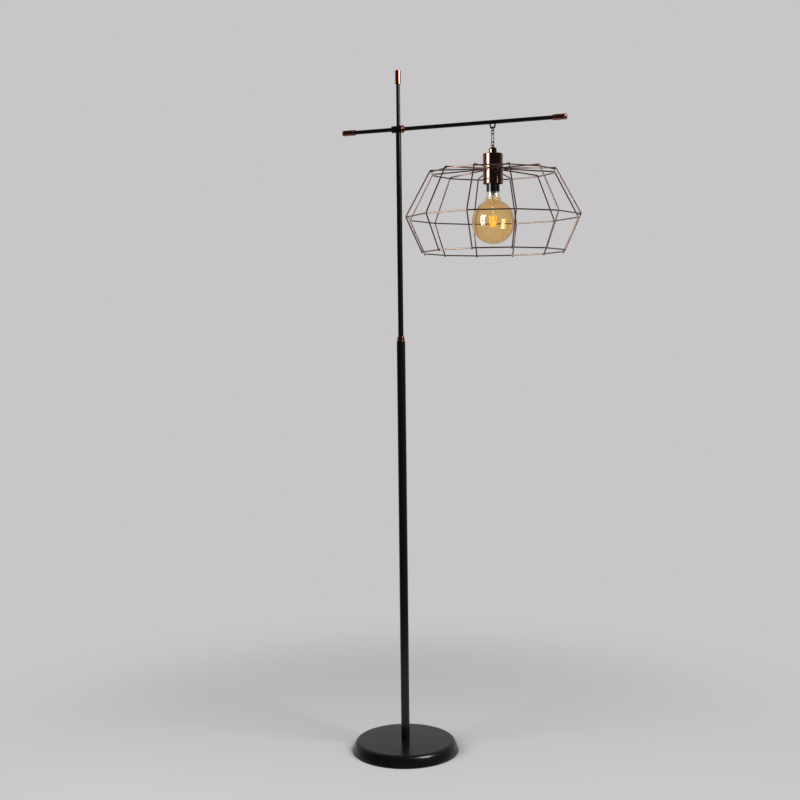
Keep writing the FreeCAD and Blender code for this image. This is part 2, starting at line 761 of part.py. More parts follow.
def top_tube():
    start = ARM_HEIGHT + NECK_END
    end = ARM_HEIGHT + size.rod_rise + size.rod_in_cap
    body = tube("top_tube", size.rod_diameter, size.rod_wall, end - start)
    place(body, 0, 0, start)


def end_cap(name, tube_diameter, solid_end):
    """Turned copper cap with a blind bore, two fine grooves and a rounded end."""
    radius = size.cap_diameter / 2
    bore = tube_diameter / 2 + size.press_gap
    far = size.cap_length - size.cap_groove_place
    body = new_body(name)
    corners = [(bore, 0), (radius, 0)]
    for start in (size.cap_groove_place, far - size.cap_groove_width):
        end = start + size.cap_groove_width
        corners += [
            (radius, start),
            (radius - size.cap_groove_depth, start),
            (radius - size.cap_groove_depth, end),
            (radius, end),
        ]
    corners += [
        (radius, size.cap_length, size.cap_round),
        (0, size.cap_length),
        (0, size.cap_length - solid_end),
        (bore, size.cap_length - solid_end),
    ]
    revolve(body, f"{name}_turning", corners)
    return body


def top_cap():
    body = end_cap("top_cap", size.rod_diameter, size.cap_length - size.rod_in_cap)
    place(body, 0, 0, ARM_HEIGHT + size.rod_rise)


# ---------------------------------------------------------------- arm

def arm_tube():
    """Cross arm, with two holes below for the staple's legs."""
    length = size.arm_back + size.arm_front - size.cap_end * 2
    start = size.cap_end - size.arm_back
    body = tube("arm_tube", size.arm_diameter, size.arm_wall, length)
    holes = new_sketch(body, "staple_holes", "YZ_Plane")
    for side in (-1, 1):
        along = size.hanger_reach - start + size.staple_spread * side / 2
        draw_circle(holes, size.staple_wire + size.staple_hole_gap * 2, 0, along)
    drilled = pocket(body, "staple_hole", holes, size.arm_diameter)
    drilled.Reversed = True
    place(body, start, 0, ARM_HEIGHT, 90, AXLE_Y)


def arm_caps():
    short_cap = end_cap("short_arm_cap", size.arm_diameter, size.cap_end)
    place(short_cap, size.cap_length - size.arm_back, 0, ARM_HEIGHT, -90, AXLE_Y)
    long_cap = end_cap("long_arm_cap", size.arm_diameter, size.cap_end)
    place(long_cap, size.arm_front - size.cap_length, 0, ARM_HEIGHT, 90, AXLE_Y)


def wire_bow(name, wire, spread, leg):
    """Wire bent to a bow over the body's origin, with two legs down to its XY plane."""
    body = new_body(name)
    half = spread / 2
    path = new_sketch(body, f"{name}_path", "XZ_Plane")
    legs = []
    for side in (-1, 1):
        foot = FreeCAD.Vector(half.value * side, 0, 0)
        head = FreeCAD.Vector(half.value * side, leg.value, 0)
        legs.append(path.addGeometry(Part.LineSegment(foot, head)))
    circle = Part.Circle(FreeCAD.Vector(0, leg.value, 0), AXLE_Z, half.value)
    bow = path.addGeometry(Part.ArcOfCircle(circle, 0, math.pi))
    for side, line in zip((-1, 1), legs):
        hold_point(path, (line, 1), half * side, 0)
        path.addConstraint(Sketcher.Constraint("Vertical", line))
    path.addConstraint(Sketcher.Constraint("Tangent", legs[0], 2, bow, 2))
    path.addConstraint(Sketcher.Constraint("Coincident", bow, 1, legs[1], 2))
    hold(path, "DistanceY", (legs[0], 2), leg)
    section = new_sketch(body, f"{name}_section", "XY_Plane")
    draw_circle(section, wire, -half, 0)
    return body, sweep(body, f"{name}_bend", path, section)


def hanging_staple():
    """U-shaped wire let into the underside of the arm; the chain hangs in its bow."""
    bend = size.staple_drop - size.staple_spread / 2
    leg = bend - size.arm_diameter / 2 + size.arm_wall + size.staple_entry
    body, _ = wire_bow("hanging_staple", size.staple_wire, size.staple_spread, leg)
    place(body, size.hanger_reach, 0, ARM_HEIGHT - bend + leg, 180, AXLE_X)


# ---------------------------------------------------------------- chain

def chain_link(name, pitch, top, turn):
    """Closed link: half of it is a wire bow, the other half its mirror image."""
    leg = (pitch - size.link_spread) / 2
    body, bow = wire_bow(name, size.link_wire, size.link_spread, leg)
    doc.recompute()
    mirror = body.newObject("PartDesign::Mirrored", f"{name}_lower_half")
    mirror.Originals = [bow]
    mirror.MirrorPlane = (origin_plane(body, "XY_Plane"), [""])
    body.Tip = mirror
    place(body, size.hanger_reach, 0, top - pitch / 2, turn)


def chain():
    across = size.chain_twist - 90
    chain_link("chain_link_1", size.link_pitch, LINK_1_TOP, size.chain_twist)
    chain_link("chain_link_2", size.link_pitch, LINK_2_TOP, across)
    chain_link("chain_link_3", size.long_link_pitch, LINK_3_TOP, size.chain_twist)
    chain_link("chain_link_4", size.link_pitch, LINK_4_TOP, across)


# ---------------------------------------------------------------- socket cover

def cap_loop():
    leg = size.loop_rise - size.loop_spread / 2 + size.loop_entry
    body, _ = wire_bow("cap_loop", size.loop_wire, size.loop_spread, leg)
    place(body, size.hanger_reach, 0, NECK_CAP_TOP - size.loop_entry, size.chain_twist)


def neck_cap():
    """Domed cap screwed on the threaded tube, with two holes for the loop."""
    radius = size.neck_cap_diameter / 2
    bore_end = size.nipple_up + size.thread_gap
    body = new_body("neck_cap")
    revolve(body, "dome", [
        (TIE_HOLE, 0),
        (radius, 0),
        (radius, size.neck_cap_height, size.neck_cap_round),
        (0, size.neck_cap_height),
        (0, bore_end),
        (TIE_HOLE, bore_end),
    ])
    hole = new_sketch(body, "loop_hole_outline", "XY_Plane", size.neck_cap_height)
    for side in (-1, 1):
        draw_circle(hole, size.loop_wire + size.press_gap * 2, size.loop_spread * side / 2, 0)
    pocket(body, "loop_holes", hole, size.loop_entry + size.press_gap)
    place(body, size.hanger_reach, 0, CUP_TOP, size.chain_twist)


def socket_cover():
    """Polished cup with an open mouth below and a small rolled lip."""
    radius = size.cover_diameter / 2
    inside = radius - size.cup_wall
    low = -size.cover_height
    body = new_body("socket_cover")
    revolve(body, "cup", [
        (TIE_HOLE, 0),
        (radius, 0, size.cup_edge),
        (radius, low + size.cup_lip_height),
        (radius + size.cup_lip, low + size.cup_lip_height),
        (radius + size.cup_lip, low),
        (inside, low),
        (inside, -size.cup_wall, size.cup_edge - size.cup_wall),
        (TIE_HOLE, -size.cup_wall),
    ])
    place(body, size.hanger_reach, 0, CUP_TOP)


def threaded_nipple():
    wall = (size.stem_diameter - size.stem_bore) / 2
    length = size.nipple_up + size.nipple_down
    body = tube("threaded_nipple", size.stem_diameter, wall, length)
    place(body, size.hanger_reach, 0, CUP_TOP - size.nipple_down)


# ---------------------------------------------------------------- lamp holder

def holder_cap():
    """Top of the lamp holder, screwed on the threaded tube."""
    radius = size.holder_diameter / 2
    inside = radius - size.holder_cap_wall
    roof = size.holder_cap_height - size.holder_cap_top
    body = new_body("holder_cap")
    revolve(body, "cap", [
        (inside, 0),
        (radius, 0),
        (radius, size.holder_cap_height, size.holder_round),
        (TIE_HOLE, size.holder_cap_height),
        (TIE_HOLE, roof),
        (inside, roof),
    ])
    place(body, size.hanger_reach, 0, CORE_TOP)


def holder_shell():
    body = tube("holder_shell", size.holder_diameter, size.holder_wall, size.holder_shell_height)
    place(body, size.hanger_reach, 0, HOLDER_LOW)


def holder_core():
    """Insulating core with two holes for the terminal screws."""
    body = new_body("holder_core")
    section = new_sketch(body, "core_section", "XY_Plane")
    draw_circle(section, (HOLDER_BORE - size.press_gap) * 2)
    pad(body, "core", section, size.core_height)
    holes = new_sketch(body, "screw_holes_outline", "XY_Plane", size.core_height)
    for side in (-1, 1):
        draw_circle(holes, size.screw_shank + size.thread_gap * 2, size.screw_place * side, 0)
    pocket(body, "screw_holes", holes, size.screw_length + size.thread_gap)
    place(body, size.hanger_reach, 0, CORE_LOW)


def terminal_screws():
    """Two cheese-head screws in the top of the core."""
    body = new_body("terminal_screws")
    body.AllowCompound = True
    rounds = {}
    for name, diameter in (("head", size.screw_head), ("shank", size.screw_shank)):
        rounds[name] = new_sketch(body, f"{name}_section", "XY_Plane")
        for side in (-1, 1):
            draw_circle(rounds[name], diameter, size.screw_place * side, 0)
    pad(body, "heads", rounds["head"], size.screw_head_height)
    doc.recompute()
    shanks = pad(body, "shanks", rounds["shank"], size.screw_length)
    shanks.Reversed = True
    place(body, size.hanger_reach, 0, CORE_TOP)


def screw_shell():
    """Sheet-metal shell that takes the bulb's screw cap, open at the mouth."""
    radius = HOLDER_BORE - size.press_gap
    inside = radius - size.screw_shell_wall
    top = size.screw_shell_height
    eye = size.contact_width
    body = new_body("screw_shell")
    revolve(body, "shell", [
        (inside, 0),
        (radius, 0),
        (radius, top),
        (eye, top),
        (eye, top - size.screw_shell_wall),
        (inside, top - size.screw_shell_wall),
    ])
    place(body, size.hanger_reach, 0, CORE_LOW - top)


def centre_contact():
    """Bent strip riveted under the core, its free end on the bulb's contact."""
    foot = size.contact_foot
    thick = size.contact_thickness
    drop = CORE_LOW - BULB_TOP - size.end_gap
    body = new_body("centre_contact")
    outline = new_sketch(body, "strip_outline", "XZ_Plane")
    draw(outline, [
        (-foot, 0),
        (-foot, -thick),
        (-thick, -thick),
        (-thick, -drop),
        (foot, -drop),
        (foot, thick - drop),
        (0, thick - drop),
        (0, 0),
    ])
    strip = pad(body, "strip", outline, size.contact_width)
    strip.SideType = "Symmetric"
    place(body, size.hanger_reach, 0, CORE_LOW)


# ---------------------------------------------------------------- bulb

GLOBE_RADIUS = size.bulb_diameter / 2
GLOBE_LOW = HOLDER_LOW - size.bulb_drop
GLOBE_CENTRE = GLOBE_LOW + GLOBE_RADIUS
SHOULDER = HOLDER_LOW - size.bulb_shoulder_gap
SEAL_TOP = SHOULDER + size.bulb_seal_length
BULB_CAP_LOW = SHOULDER + size.bulb_wall + size.end_gap
BULB_CAP_TOP = BULB_CAP_LOW + size.bulb_cap_height
BULB_TOP = BULB_CAP_TOP + size.bulb_insulator_height + size.bulb_contact_height


def globe_outline(body, name, inset, top):
    """Half outline of the globe and neck, at an inset from the outer surface.

    Two arcs about two centres leave a short straight band between them, and a hollow
    curve leads into the tapered neck.
    """
    radius = GLOBE_RADIUS - inset
    curve = size.bulb_neck_round + inset
    shoulder = SHOULDER - GLOBE_CENTRE - inset
    neck_top = size.bulb_neck_top - inset
    neck_low = size.bulb_neck_low - inset
    neck_foot = shoulder - size.bulb_neck_length
    seal = size.bulb_seal - inset
    band = size.bulb_band.value
    lean = math.atan2(size.bulb_neck_length.value, neck_top.value - neck_low.value)
    normal = lean - math.pi / 2
    reach = radius.value + curve.value
    across = neck_top.value * math.cos(normal) + shoulder.value * math.sin(normal) + curve.value
    swing = normal + math.acos((across - band * math.sin(normal)) / reach)
    hollow_x = reach * math.cos(swing)
    hollow_y = band + reach * math.sin(swing)
    sketch = new_sketch(body, name, "XZ_Plane")

    def line(x1, y1, x2, y2):
        ends = FreeCAD.Vector(x1, y1, 0), FreeCAD.Vector(x2, y2, 0)
        return sketch.addGeometry(Part.LineSegment(*ends))

    def arc(x, y, arc_radius, start, end):
        circle = Part.Circle(FreeCAD.Vector(x, y, 0), AXLE_Z, arc_radius.value)
        return sketch.addGeometry(Part.ArcOfCircle(circle, start, end))

    def tie(kind, first, first_end, second, second_end):
        sketch.addConstraint(Sketcher.Constraint(kind, first, first_end, second, second_end))

    touch_x = hollow_x - curve.value * math.cos(normal)
    touch_y = hollow_y - curve.value * math.sin(normal)
    lower = arc(0, 0, radius, -math.pi / 2, 0)
    side = line(radius.value, 0, radius.value, band)
    upper = arc(0, band, radius, 0, swing)
    hollow = arc(hollow_x, hollow_y, curve, normal + math.pi, swing + math.pi)
    neck = line(touch_x, touch_y, neck_top.value, shoulder.value)
    step = line(neck_top.value, shoulder.value, seal.value, shoulder.value)
    collar = line(seal.value, shoulder.value, seal.value, top.value)
    lid = line(seal.value, top.value, 0, top.value)
    axis = line(0, top.value, 0, -radius.value)
    tie("Coincident", lower, 3, -1, 1)
    hold_value(sketch, "Radius", lower, radius)
    tie("Coincident", lower, 2, side, 1)
    tie("Coincident", lower, 1, axis, 2)
    sketch.addConstraint(Sketcher.Constraint("PointOnObject", side, 1, -1))
    tie("Tangent", side, 2, upper, 1)
    hold(sketch, "DistanceY", (side, 2), size.bulb_band)
    sketch.addConstraint(Sketcher.Constraint("PointOnObject", upper, 3, -2))
    sketch.addConstraint(Sketcher.Constraint("Vertical", side))
    tie("Tangent", upper, 2, hollow, 2)
    hold_value(sketch, "Radius", hollow, curve)
    tie("Tangent", hollow, 1, neck, 1)
    mark = sketch.addGeometry(Part.Point(FreeCAD.Vector(neck_low.value, neck_foot.value, 0)), True)
    hold_point(sketch, (mark, 1), neck_low, neck_foot)
    sketch.addConstraint(Sketcher.Constraint("PointOnObject", mark, 1, neck))
    hold_point(sketch, (neck, 2), neck_top, shoulder)
    for before, after in ((neck, step), (step, collar), (collar, lid), (lid, axis)):
        tie("Coincident", before, 2, after, 1)
    hold_point(sketch, (step, 2), seal, shoulder)
    hold_point(sketch, (collar, 2), seal, top)
    hold_point(sketch, (lid, 2), as_length(0), top)
    sketch.addConstraint(Sketcher.Constraint("Vertical", axis))
    return sketch


def bulb_glass():
    """Blown globe: the outer form turned solid, then its inside turned away."""
    body = new_body("bulb_glass")
    top = SEAL_TOP - GLOBE_CENTRE
    blown = body.newObject("PartDesign::Revolution", "blown_form")
    outer = globe_outline(body, "outer_outline", as_length(0), top)
    blown.Profile = outer
    blown.ReferenceAxis = (outer, [VERTICAL])
    blown.Angle = 360
    doc.recompute()
    inner = globe_outline(body, "inner_outline", size.bulb_wall, top + size.bulb_wall)
    hollow = body.newObject("PartDesign::Groove", "hollow_form")
    hollow.Profile = inner
    hollow.ReferenceAxis = (inner, [VERTICAL])
    hollow.Angle = 360
    place(body, size.hanger_reach, 0, GLOBE_CENTRE)


def bulb_cap():
    """Screw cap: a thin metal cup round the glass, open on top for the insulator."""
    radius = size.bulb_cap_diameter / 2
    inside = radius - size.bulb_cap_wall
    eye = size.bulb_eye / 2
    top = size.bulb_cap_height
    body = new_body("bulb_cap")
    revolve(body, "screw_cap", [
        (inside, 0),
        (radius, 0),
        (radius, top - size.bulb_insulator_height),
        (eye, top),
        (eye, top - size.bulb_cap_wall),
        (inside, top - size.bulb_insulator_height - size.bulb_cap_wall),
    ])
    place(body, size.hanger_reach, 0, BULB_CAP_LOW)


def bulb_insulator():
    body = new_body("bulb_insulator")
    revolve(body, "insulator", [
        (0, 0),
        (size.bulb_eye / 2, 0),
        (size.bulb_insulator_top / 2, size.bulb_insulator_height),
        (0, size.bulb_insulator_height),
    ])
    place(body, size.hanger_reach, 0, BULB_CAP_TOP)


def bulb_contact():
    radius = size.bulb_contact_diameter / 2
    body = new_body("bulb_contact")
    revolve(body, "contact", [
        (0, 0),
        (radius, 0),
        (radius, size.bulb_contact_height, size.bulb_contact_height / 2),
        (0, size.bulb_contact_height),
    ])
    place(body, size.hanger_reach, 0, BULB_TOP - size.bulb_contact_height)


def bulb_stem():
    """Glass stem: a flare sealed in the neck that narrows to a rod."""
    flare = size.bulb_seal - size.bulb_wall - size.press_gap
    rod = size.glass_stem_radius
    body = new_body("bulb_stem")
    revolve(body, "stem", [
        (0, 0),
        (flare, 0),
        (flare, -size.bulb_wall),
        (rod, -size.glass_flare_length),
        (rod, -size.glass_stem_length, rod / 2),
        (0, -size.glass_stem_length),
    ])
    place(body, size.hanger_reach, 0, SEAL_TOP - size.end_gap)


FILAMENT_TOP = HOLDER_LOW - size.filament_drop
STEM_END = SEAL_TOP - size.end_gap - size.glass_stem_length


def slanted_rod(body, name, thickness, low, high):
    """Thin rod between two points of the body's XZ plane, each an (x, z) pair."""
    path = new_sketch(body, f"{name}_path", "XZ_Plane")
    draw(path, [low, high], closed=False)
    section = new_sketch(body, f"{name}_section", "XY_Plane", low[1])
    draw_circle(section, thickness, low[0], 0)
    return sweep(body, name, path, section)


def bulb_filaments():
    """Four glowing rods that stand on a cone about the bulb's axis."""
    body = new_body("bulb_filaments")
    body.AllowCompound = True
    low = (size.filament_low_spread, -size.filament_length)
    high = (size.filament_top_spread, as_length(0))
    rod = slanted_rod(body, "rod", size.filament_thickness, low, high)
    repeat_round(body, "rods", rod, as_length(4))
    place(body, size.hanger_reach, 0, FILAMENT_TOP, size.filament_turn)


def bulb_wires():
    """Support wire down the axis, with four arms to the tops of the rods and four below."""
    wire = size.support_wire
    end = STEM_END - FILAMENT_TOP
    gap = size.filament_gap
    top = (size.filament_top_spread, gap)
    low = (size.filament_low_spread, -size.filament_length - gap - wire / 2)
    mast_low = low[1] - wire
    body = new_body("bulb_wires")
    section = new_sketch(body, "mast_section", "XY_Plane", mast_low)
    draw_circle(section, size.support_mast)
    pad(body, "mast", section, end - mast_low)
    doc.recompute()
    upper = slanted_rod(body, "upper_arm", wire, top, (as_length(0), end - wire * 2))
    repeat_round(body, "upper_arms", upper, as_length(4))
    doc.recompute()
    lower = new_sketch(body, "lower_arms_section", "YZ_Plane")
    draw_circle(lower, wire, 0, low[1])
    arm = pad(body, "lower_arm", lower, size.filament_low_spread)
    repeat_round(body, "lower_arms", arm, as_length(4))
    place(body, size.hanger_reach, 0, FILAMENT_TOP, size.filament_turn)


# ---------------------------------------------------------------- cage

def cage_hub_ring():
    """Round wire ring that carries the spokes and hugs the socket cover."""
    body = new_body("cage_hub_ring")
    section = new_sketch(body, "hub_section", "XZ_Plane")
    draw_circle(section, size.cage_wire, HUB_RADIUS, 0)
    ring = body.newObject("PartDesign::Revolution", "hub_ring")
    ring.Profile = section
    ring.ReferenceAxis = (section, [VERTICAL])
    ring.Angle = 360
    place(body, size.hanger_reach, 0, HUB_HEIGHT)


def cage_ring(name, corner_radius, height):
    """Ring of straight sides with a small bend at each rib: one bend, repeated round."""
    body = new_body(name)
    half_turn = as_length(180) / size.rib_count
    flat = corner_radius * cosine(half_turn)
    reach = corner_radius * sine(half_turn)
    path = new_sketch(body, f"{name}_path", "XY_Plane")
    turn = half_turn * 2
    draw(path, [
        (flat, as_length(0)),
        (flat, reach, size.ring_bend),
        (flat * cosine(turn), flat * sine(turn)),
    ], closed=False)
    section = new_sketch(body, f"{name}_section", "XZ_Plane")
    draw_circle(section, size.cage_wire, flat, 0)
    side = sweep(body, f"{name}_side", path, section)
    repeat_round(body, f"{name}_sides", side, size.rib_count)
    place(body, size.hanger_reach, 0, height, size.rib_turn - half_turn)


def bend_over(sketch, ring_x, ring_y, radius, start, end):
    """Arc of a rib round the wire of a ring."""
    centre = FreeCAD.Vector(ring_x.value, ring_y.value, 0)
    circle = Part.Circle(centre, AXLE_Z, radius.value)
    arc = sketch.addGeometry(Part.ArcOfCircle(circle, start, end))
    hold_point(sketch, (arc, 3), ring_x, ring_y)
    hold_value(sketch, "Radius", arc, radius)
    return arc


def rib_path(body, name):
    """One bent wire: spoke, bend over the top ring, shoulder, bend round the middle
    ring, and a last run that ends just below the bottom ring."""
    sketch = new_sketch(body, f"{name}_path", "XZ_Plane")
    start_x = HUB_RADIUS + size.cage_wire / 2 + size.weld_gap
    top = (size.top_ring_radius, TOP_RING_HEIGHT - HUB_HEIGHT)
    middle = (size.middle_ring_radius, MIDDLE_RING_HEIGHT - HUB_HEIGHT)
    bottom = (size.bottom_ring_radius, BOTTOM_RING_HEIGHT - HUB_HEIGHT)
    radius = WELD_STEP

    def normal_of(first, second):
        return math.atan2(first[0].value - second[0].value, second[1].value - first[1].value)

    run = top[0].value - start_x.value
    gap = math.hypot(run, top[1].value)
    tilt = math.atan2(top[1].value, run) + math.asin(radius.value / gap)
    spoke_normal = tilt + math.pi / 2
    shoulder_normal = normal_of(middle, top)
    skirt_normal = normal_of(bottom, middle)

    def beside(point, angle):
        x = point[0].value + radius.value * math.cos(angle)
        y = point[1].value + radius.value * math.sin(angle)
        return FreeCAD.Vector(x, y, 0)

    start = FreeCAD.Vector(start_x.value, 0, 0)
    spoke = sketch.addGeometry(Part.LineSegment(start, beside(top, spoke_normal)))
    hook = bend_over(sketch, *top, radius, shoulder_normal, spoke_normal)
    shoulder_ends = beside(top, shoulder_normal), beside(middle, shoulder_normal)
    shoulder = sketch.addGeometry(Part.LineSegment(*shoulder_ends))
    elbow = bend_over(sketch, *middle, radius, skirt_normal, shoulder_normal)
    last = beside(bottom, skirt_normal)
    fall = last - beside(middle, skirt_normal)
    last = last + fall * (size.rib_overrun.value / abs(fall.y))
    skirt = sketch.addGeometry(Part.LineSegment(beside(middle, skirt_normal), last))
    hold_point(sketch, (spoke, 1), start_x, as_length(0))
    sketch.addConstraint(Sketcher.Constraint("Tangent", spoke, 2, hook, 2))
    sketch.addConstraint(Sketcher.Constraint("Tangent", hook, 1, shoulder, 1))
    sketch.addConstraint(Sketcher.Constraint("Tangent", shoulder, 2, elbow, 2))
    sketch.addConstraint(Sketcher.Constraint("Tangent", elbow, 1, skirt, 1))
    ring_mark = FreeCAD.Vector(bottom[0].value, bottom[1].value, 0)
    guide = sketch.addGeometry(Part.Circle(ring_mark, AXLE_Z, radius.value), True)
    hold_point(sketch, (guide, 3), *bottom)
    hold_value(sketch, "Radius", guide, radius)
    sketch.addConstraint(Sketcher.Constraint("Tangent", guide, skirt))
    low_end = bottom[1] - size.rib_overrun
    index = sketch.addConstraint(Sketcher.Constraint("DistanceY", -1, 1, skirt, 2, last.y))
    sketch.setExpression(f"Constraints[{index}]", low_end.text)
    return sketch, start_x


def cage_rib(number):
    name = f"cage_rib_{number + 1:02d}"
    body = new_body(name)
    path, start_x = rib_path(body, name)
    section = new_sketch(body, f"{name}_section", "YZ_Plane", start_x)
    draw_circle(section, size.cage_wire)
    sweep(body, f"{name}_wire", path, section)
    turn = size.rib_turn + as_length(360) / size.rib_count * number
    place(body, size.hanger_reach, 0, HUB_HEIGHT, turn)


def cage():
    cage_hub_ring()
    cage_ring("cage_top_ring", size.top_ring_radius, TOP_RING_HEIGHT)
    cage_ring("cage_middle_ring", size.middle_ring_radius, MIDDLE_RING_HEIGHT)
    cage_ring("cage_bottom_ring", size.bottom_ring_radius, BOTTOM_RING_HEIGHT)
    for number in range(round(size.rib_count.value)):
        cage_rib(number)


# ---------------------------------------------------------------- build, check and write

def build():
    base_cover()
    base_weight()
    base_pad()
    cord_grommet()
    base_stem()
    hex_nut("base_nut", size.nut_height, 0, NUT_SEAT - size.nut_height)
    lower_pole()
    pole_foot_plug()
    top_bush()
    copper_collar()
    clamp_ferrule()
    upper_tube()
    slide_guide()
    cross_barrel()
    arm_lock_ring()
    arm_lock_nut()
    top_tube()
    top_cap()
    arm_tube()
    arm_caps()
    hanging_staple()
    chain()
    cap_loop()
    neck_cap()
    socket_cover()
    threaded_nipple()
    nipple_nut_low = CUP_TOP - size.cup_wall - size.nipple_nut_height
    hex_nut("nipple_nut", size.nipple_nut_height, size.hanger_reach, nipple_nut_low)
    holder_cap()
    holder_shell()
    holder_core()
    terminal_screws()
    screw_shell()
    centre_contact()
    bulb_glass()
    bulb_cap()
    bulb_insulator()
    bulb_contact()
    bulb_stem()
    bulb_filaments()
    bulb_wires()
    cage()
    doc.recompute()


def faults():
    """Every object or piece that came out wrong, by name."""
    found = []
    for thing in doc.Objects:
        if "Invalid" in thing.State or "Error" in thing.State:
            found.append(f"{thing.Name}: {thing.State}")
    for body in nodes:
        if body.Shape.isNull() or not body.Shape.isValid() or not body.Shape.Solids:
            found.append(f"{body.Name}: no valid solid")
    return found


def write():
    os.makedirs("parts", exist_ok=True)
    for body in nodes:
        body.Shape.exportStep(os.path.join("parts", f"{body.Label}.step"))


build()
problems = faults()
for problem in problems:
    print(problem)
if problems:
    raise SystemExit(1)
write()
print(len(nodes), "pieces written")
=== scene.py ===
import math

import bmesh
import bpy
from mathutils import Matrix, Vector


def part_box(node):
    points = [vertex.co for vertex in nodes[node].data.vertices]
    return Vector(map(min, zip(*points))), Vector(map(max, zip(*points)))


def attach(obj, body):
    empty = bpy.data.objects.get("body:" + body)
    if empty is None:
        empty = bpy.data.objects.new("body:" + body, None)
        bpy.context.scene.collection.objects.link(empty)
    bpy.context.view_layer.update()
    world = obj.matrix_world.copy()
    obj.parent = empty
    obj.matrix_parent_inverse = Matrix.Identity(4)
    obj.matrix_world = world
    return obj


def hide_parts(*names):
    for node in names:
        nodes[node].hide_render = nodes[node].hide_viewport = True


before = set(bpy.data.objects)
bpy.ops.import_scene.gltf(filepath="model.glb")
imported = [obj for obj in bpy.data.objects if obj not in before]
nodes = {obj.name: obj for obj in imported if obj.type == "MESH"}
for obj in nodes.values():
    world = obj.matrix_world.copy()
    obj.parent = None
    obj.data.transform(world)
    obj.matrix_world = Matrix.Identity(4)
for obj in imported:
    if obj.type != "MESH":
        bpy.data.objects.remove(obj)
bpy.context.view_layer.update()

# ------------------------------------------------------------------ camera and studio
# The camera stands where the photograph's camera stood, turned 22 degrees off the arm, before
# a pale seamless backdrop. Highlights follow the photograph: the stand is lit by a soft box
# high on the right, the shade by one on the left and a thin weak strip on the right.

ARM_AZIMUTH = math.radians(22.17)
CAMERA_SIDE = -0.0038
CAMERA_DISTANCE = 2.7902
CAMERA_HEIGHT = 1.0064
CAMERA_PITCH = 0.0626
CAMERA_ROLL = 0.0117
LENS = 54.0
SENSOR = 36.0

turn = Matrix.Rotation(ARM_AZIMUTH, 3, "Z")
look = turn @ Vector((0, math.cos(CAMERA_PITCH), -math.sin(CAMERA_PITCH)))
level = turn @ Vector((1, 0, 0))
rise = level.cross(look)
across = math.cos(CAMERA_ROLL) * level - math.sin(CAMERA_ROLL) * rise
upward = math.sin(CAMERA_ROLL) * level + math.cos(CAMERA_ROLL) * rise
camera_data = bpy.data.cameras.new("camera")
camera_data.lens = LENS
camera_data.sensor_width = SENSOR
camera = bpy.data.objects.new("camera", camera_data)
camera.matrix_world = Matrix((across, upward, -look)).transposed().to_4x4()
camera.location = turn @ Vector((CAMERA_SIDE, -CAMERA_DISTANCE, CAMERA_HEIGHT))
bpy.context.scene.collection.objects.link(camera)
bpy.context.scene.camera = camera
bpy.context.scene.view_settings.view_transform = "Standard"

BACKDROP = "#c8c6c7"
FLOOR_PAPER = "#a3a1a2"
FLOOR_HALF = 3.0
FLOOR_FADE = (0.3, 1.4)
BEHIND = (-0.35, 0.9)
BEHIND_GLOW = (0.06, 0.72)
AMBIENT = 0.4


def paint(code):
    """Linear colour from a hex sRGB code."""
    channels = [int(code[place:place + 2], 16) / 255 for place in (1, 3, 5)]
    linear = [c / 12.92 if c <= 0.04045 else ((c + 0.055) / 1.055) ** 2.4 for c in channels]
    return (*linear, 1.0)


def add(tree, kind, inputs, **settings):
    """A node of a kind, with its inputs set to values or linked to other nodes' outputs."""
    node = tree.nodes.new(kind)
    for name, value in settings.items():
        setattr(node, name, value)
    for key, value in inputs.items():
        if isinstance(value, bpy.types.NodeSocket):
            tree.links.new(value, node.inputs[key])
        else:
            node.inputs[key].default_value = value
    return node


def empty_material(name):
    """A material without nodes, and its node tree."""
    material = bpy.data.materials.new(name)
    material.use_nodes = True
    material.node_tree.nodes.clear()
    return material, material.node_tree


# Shiny pieces mirror a bright backdrop behind the lamp and a dark room in front of it.
world = bpy.data.worlds.new("studio")
bpy.context.scene.world = world
world.use_nodes = True
tree = world.node_tree
tree.nodes.clear()
rays = add(tree, "ShaderNodeLightPath", {}).outputs
way = add(tree, "ShaderNodeTexCoord", {}).outputs["Generated"]
facing = add(tree, "ShaderNodeVectorMath", {0: way, 1: look}, operation="DOT_PRODUCT")
glow = add(tree, "ShaderNodeMapRange", {
    "Value": facing.outputs["Value"], "From Min": BEHIND[0], "From Max": BEHIND[1],
    "To Min": BEHIND_GLOW[0], "To Max": BEHIND_GLOW[1]}, interpolation_type="SMOOTHSTEP")
plain = add(tree, "ShaderNodeBackground", {"Color": paint(BACKDROP)})
mirrored = add(tree, "ShaderNodeBackground", {"Color": paint(BACKDROP),
                                              "Strength": glow.outputs[0]})
ambient = add(tree, "ShaderNodeBackground", {"Strength": AMBIENT})
straight = add(tree, "ShaderNodeMath", {0: rays["Is Camera Ray"], 1: rays["Is Transmission Ray"]},
               operation="MAXIMUM")
lit = add(tree, "ShaderNodeMixShader", {0: rays["Is Glossy Ray"], 1: ambient.outputs[0],
                                        2: mirrored.outputs[0]})
seen = add(tree, "ShaderNodeMixShader", {0: straight.outputs[0], 1: lit.outputs[0],
                                         2: plain.outputs[0]})
add(tree, "ShaderNodeOutputWorld", {"Surface": seen.outputs[0]})

# The floor fades into the backdrop further out and can't be seen from below.
form = bmesh.new()
bmesh.ops.create_grid(form, x_segments=2, y_segments=2, size=FLOOR_HALF)
floor_mesh = bpy.data.meshes.new("floor")
form.to_mesh(floor_mesh)
form.free()
floor = bpy.data.objects.new("floor", floor_mesh)
bpy.context.scene.collection.objects.link(floor)

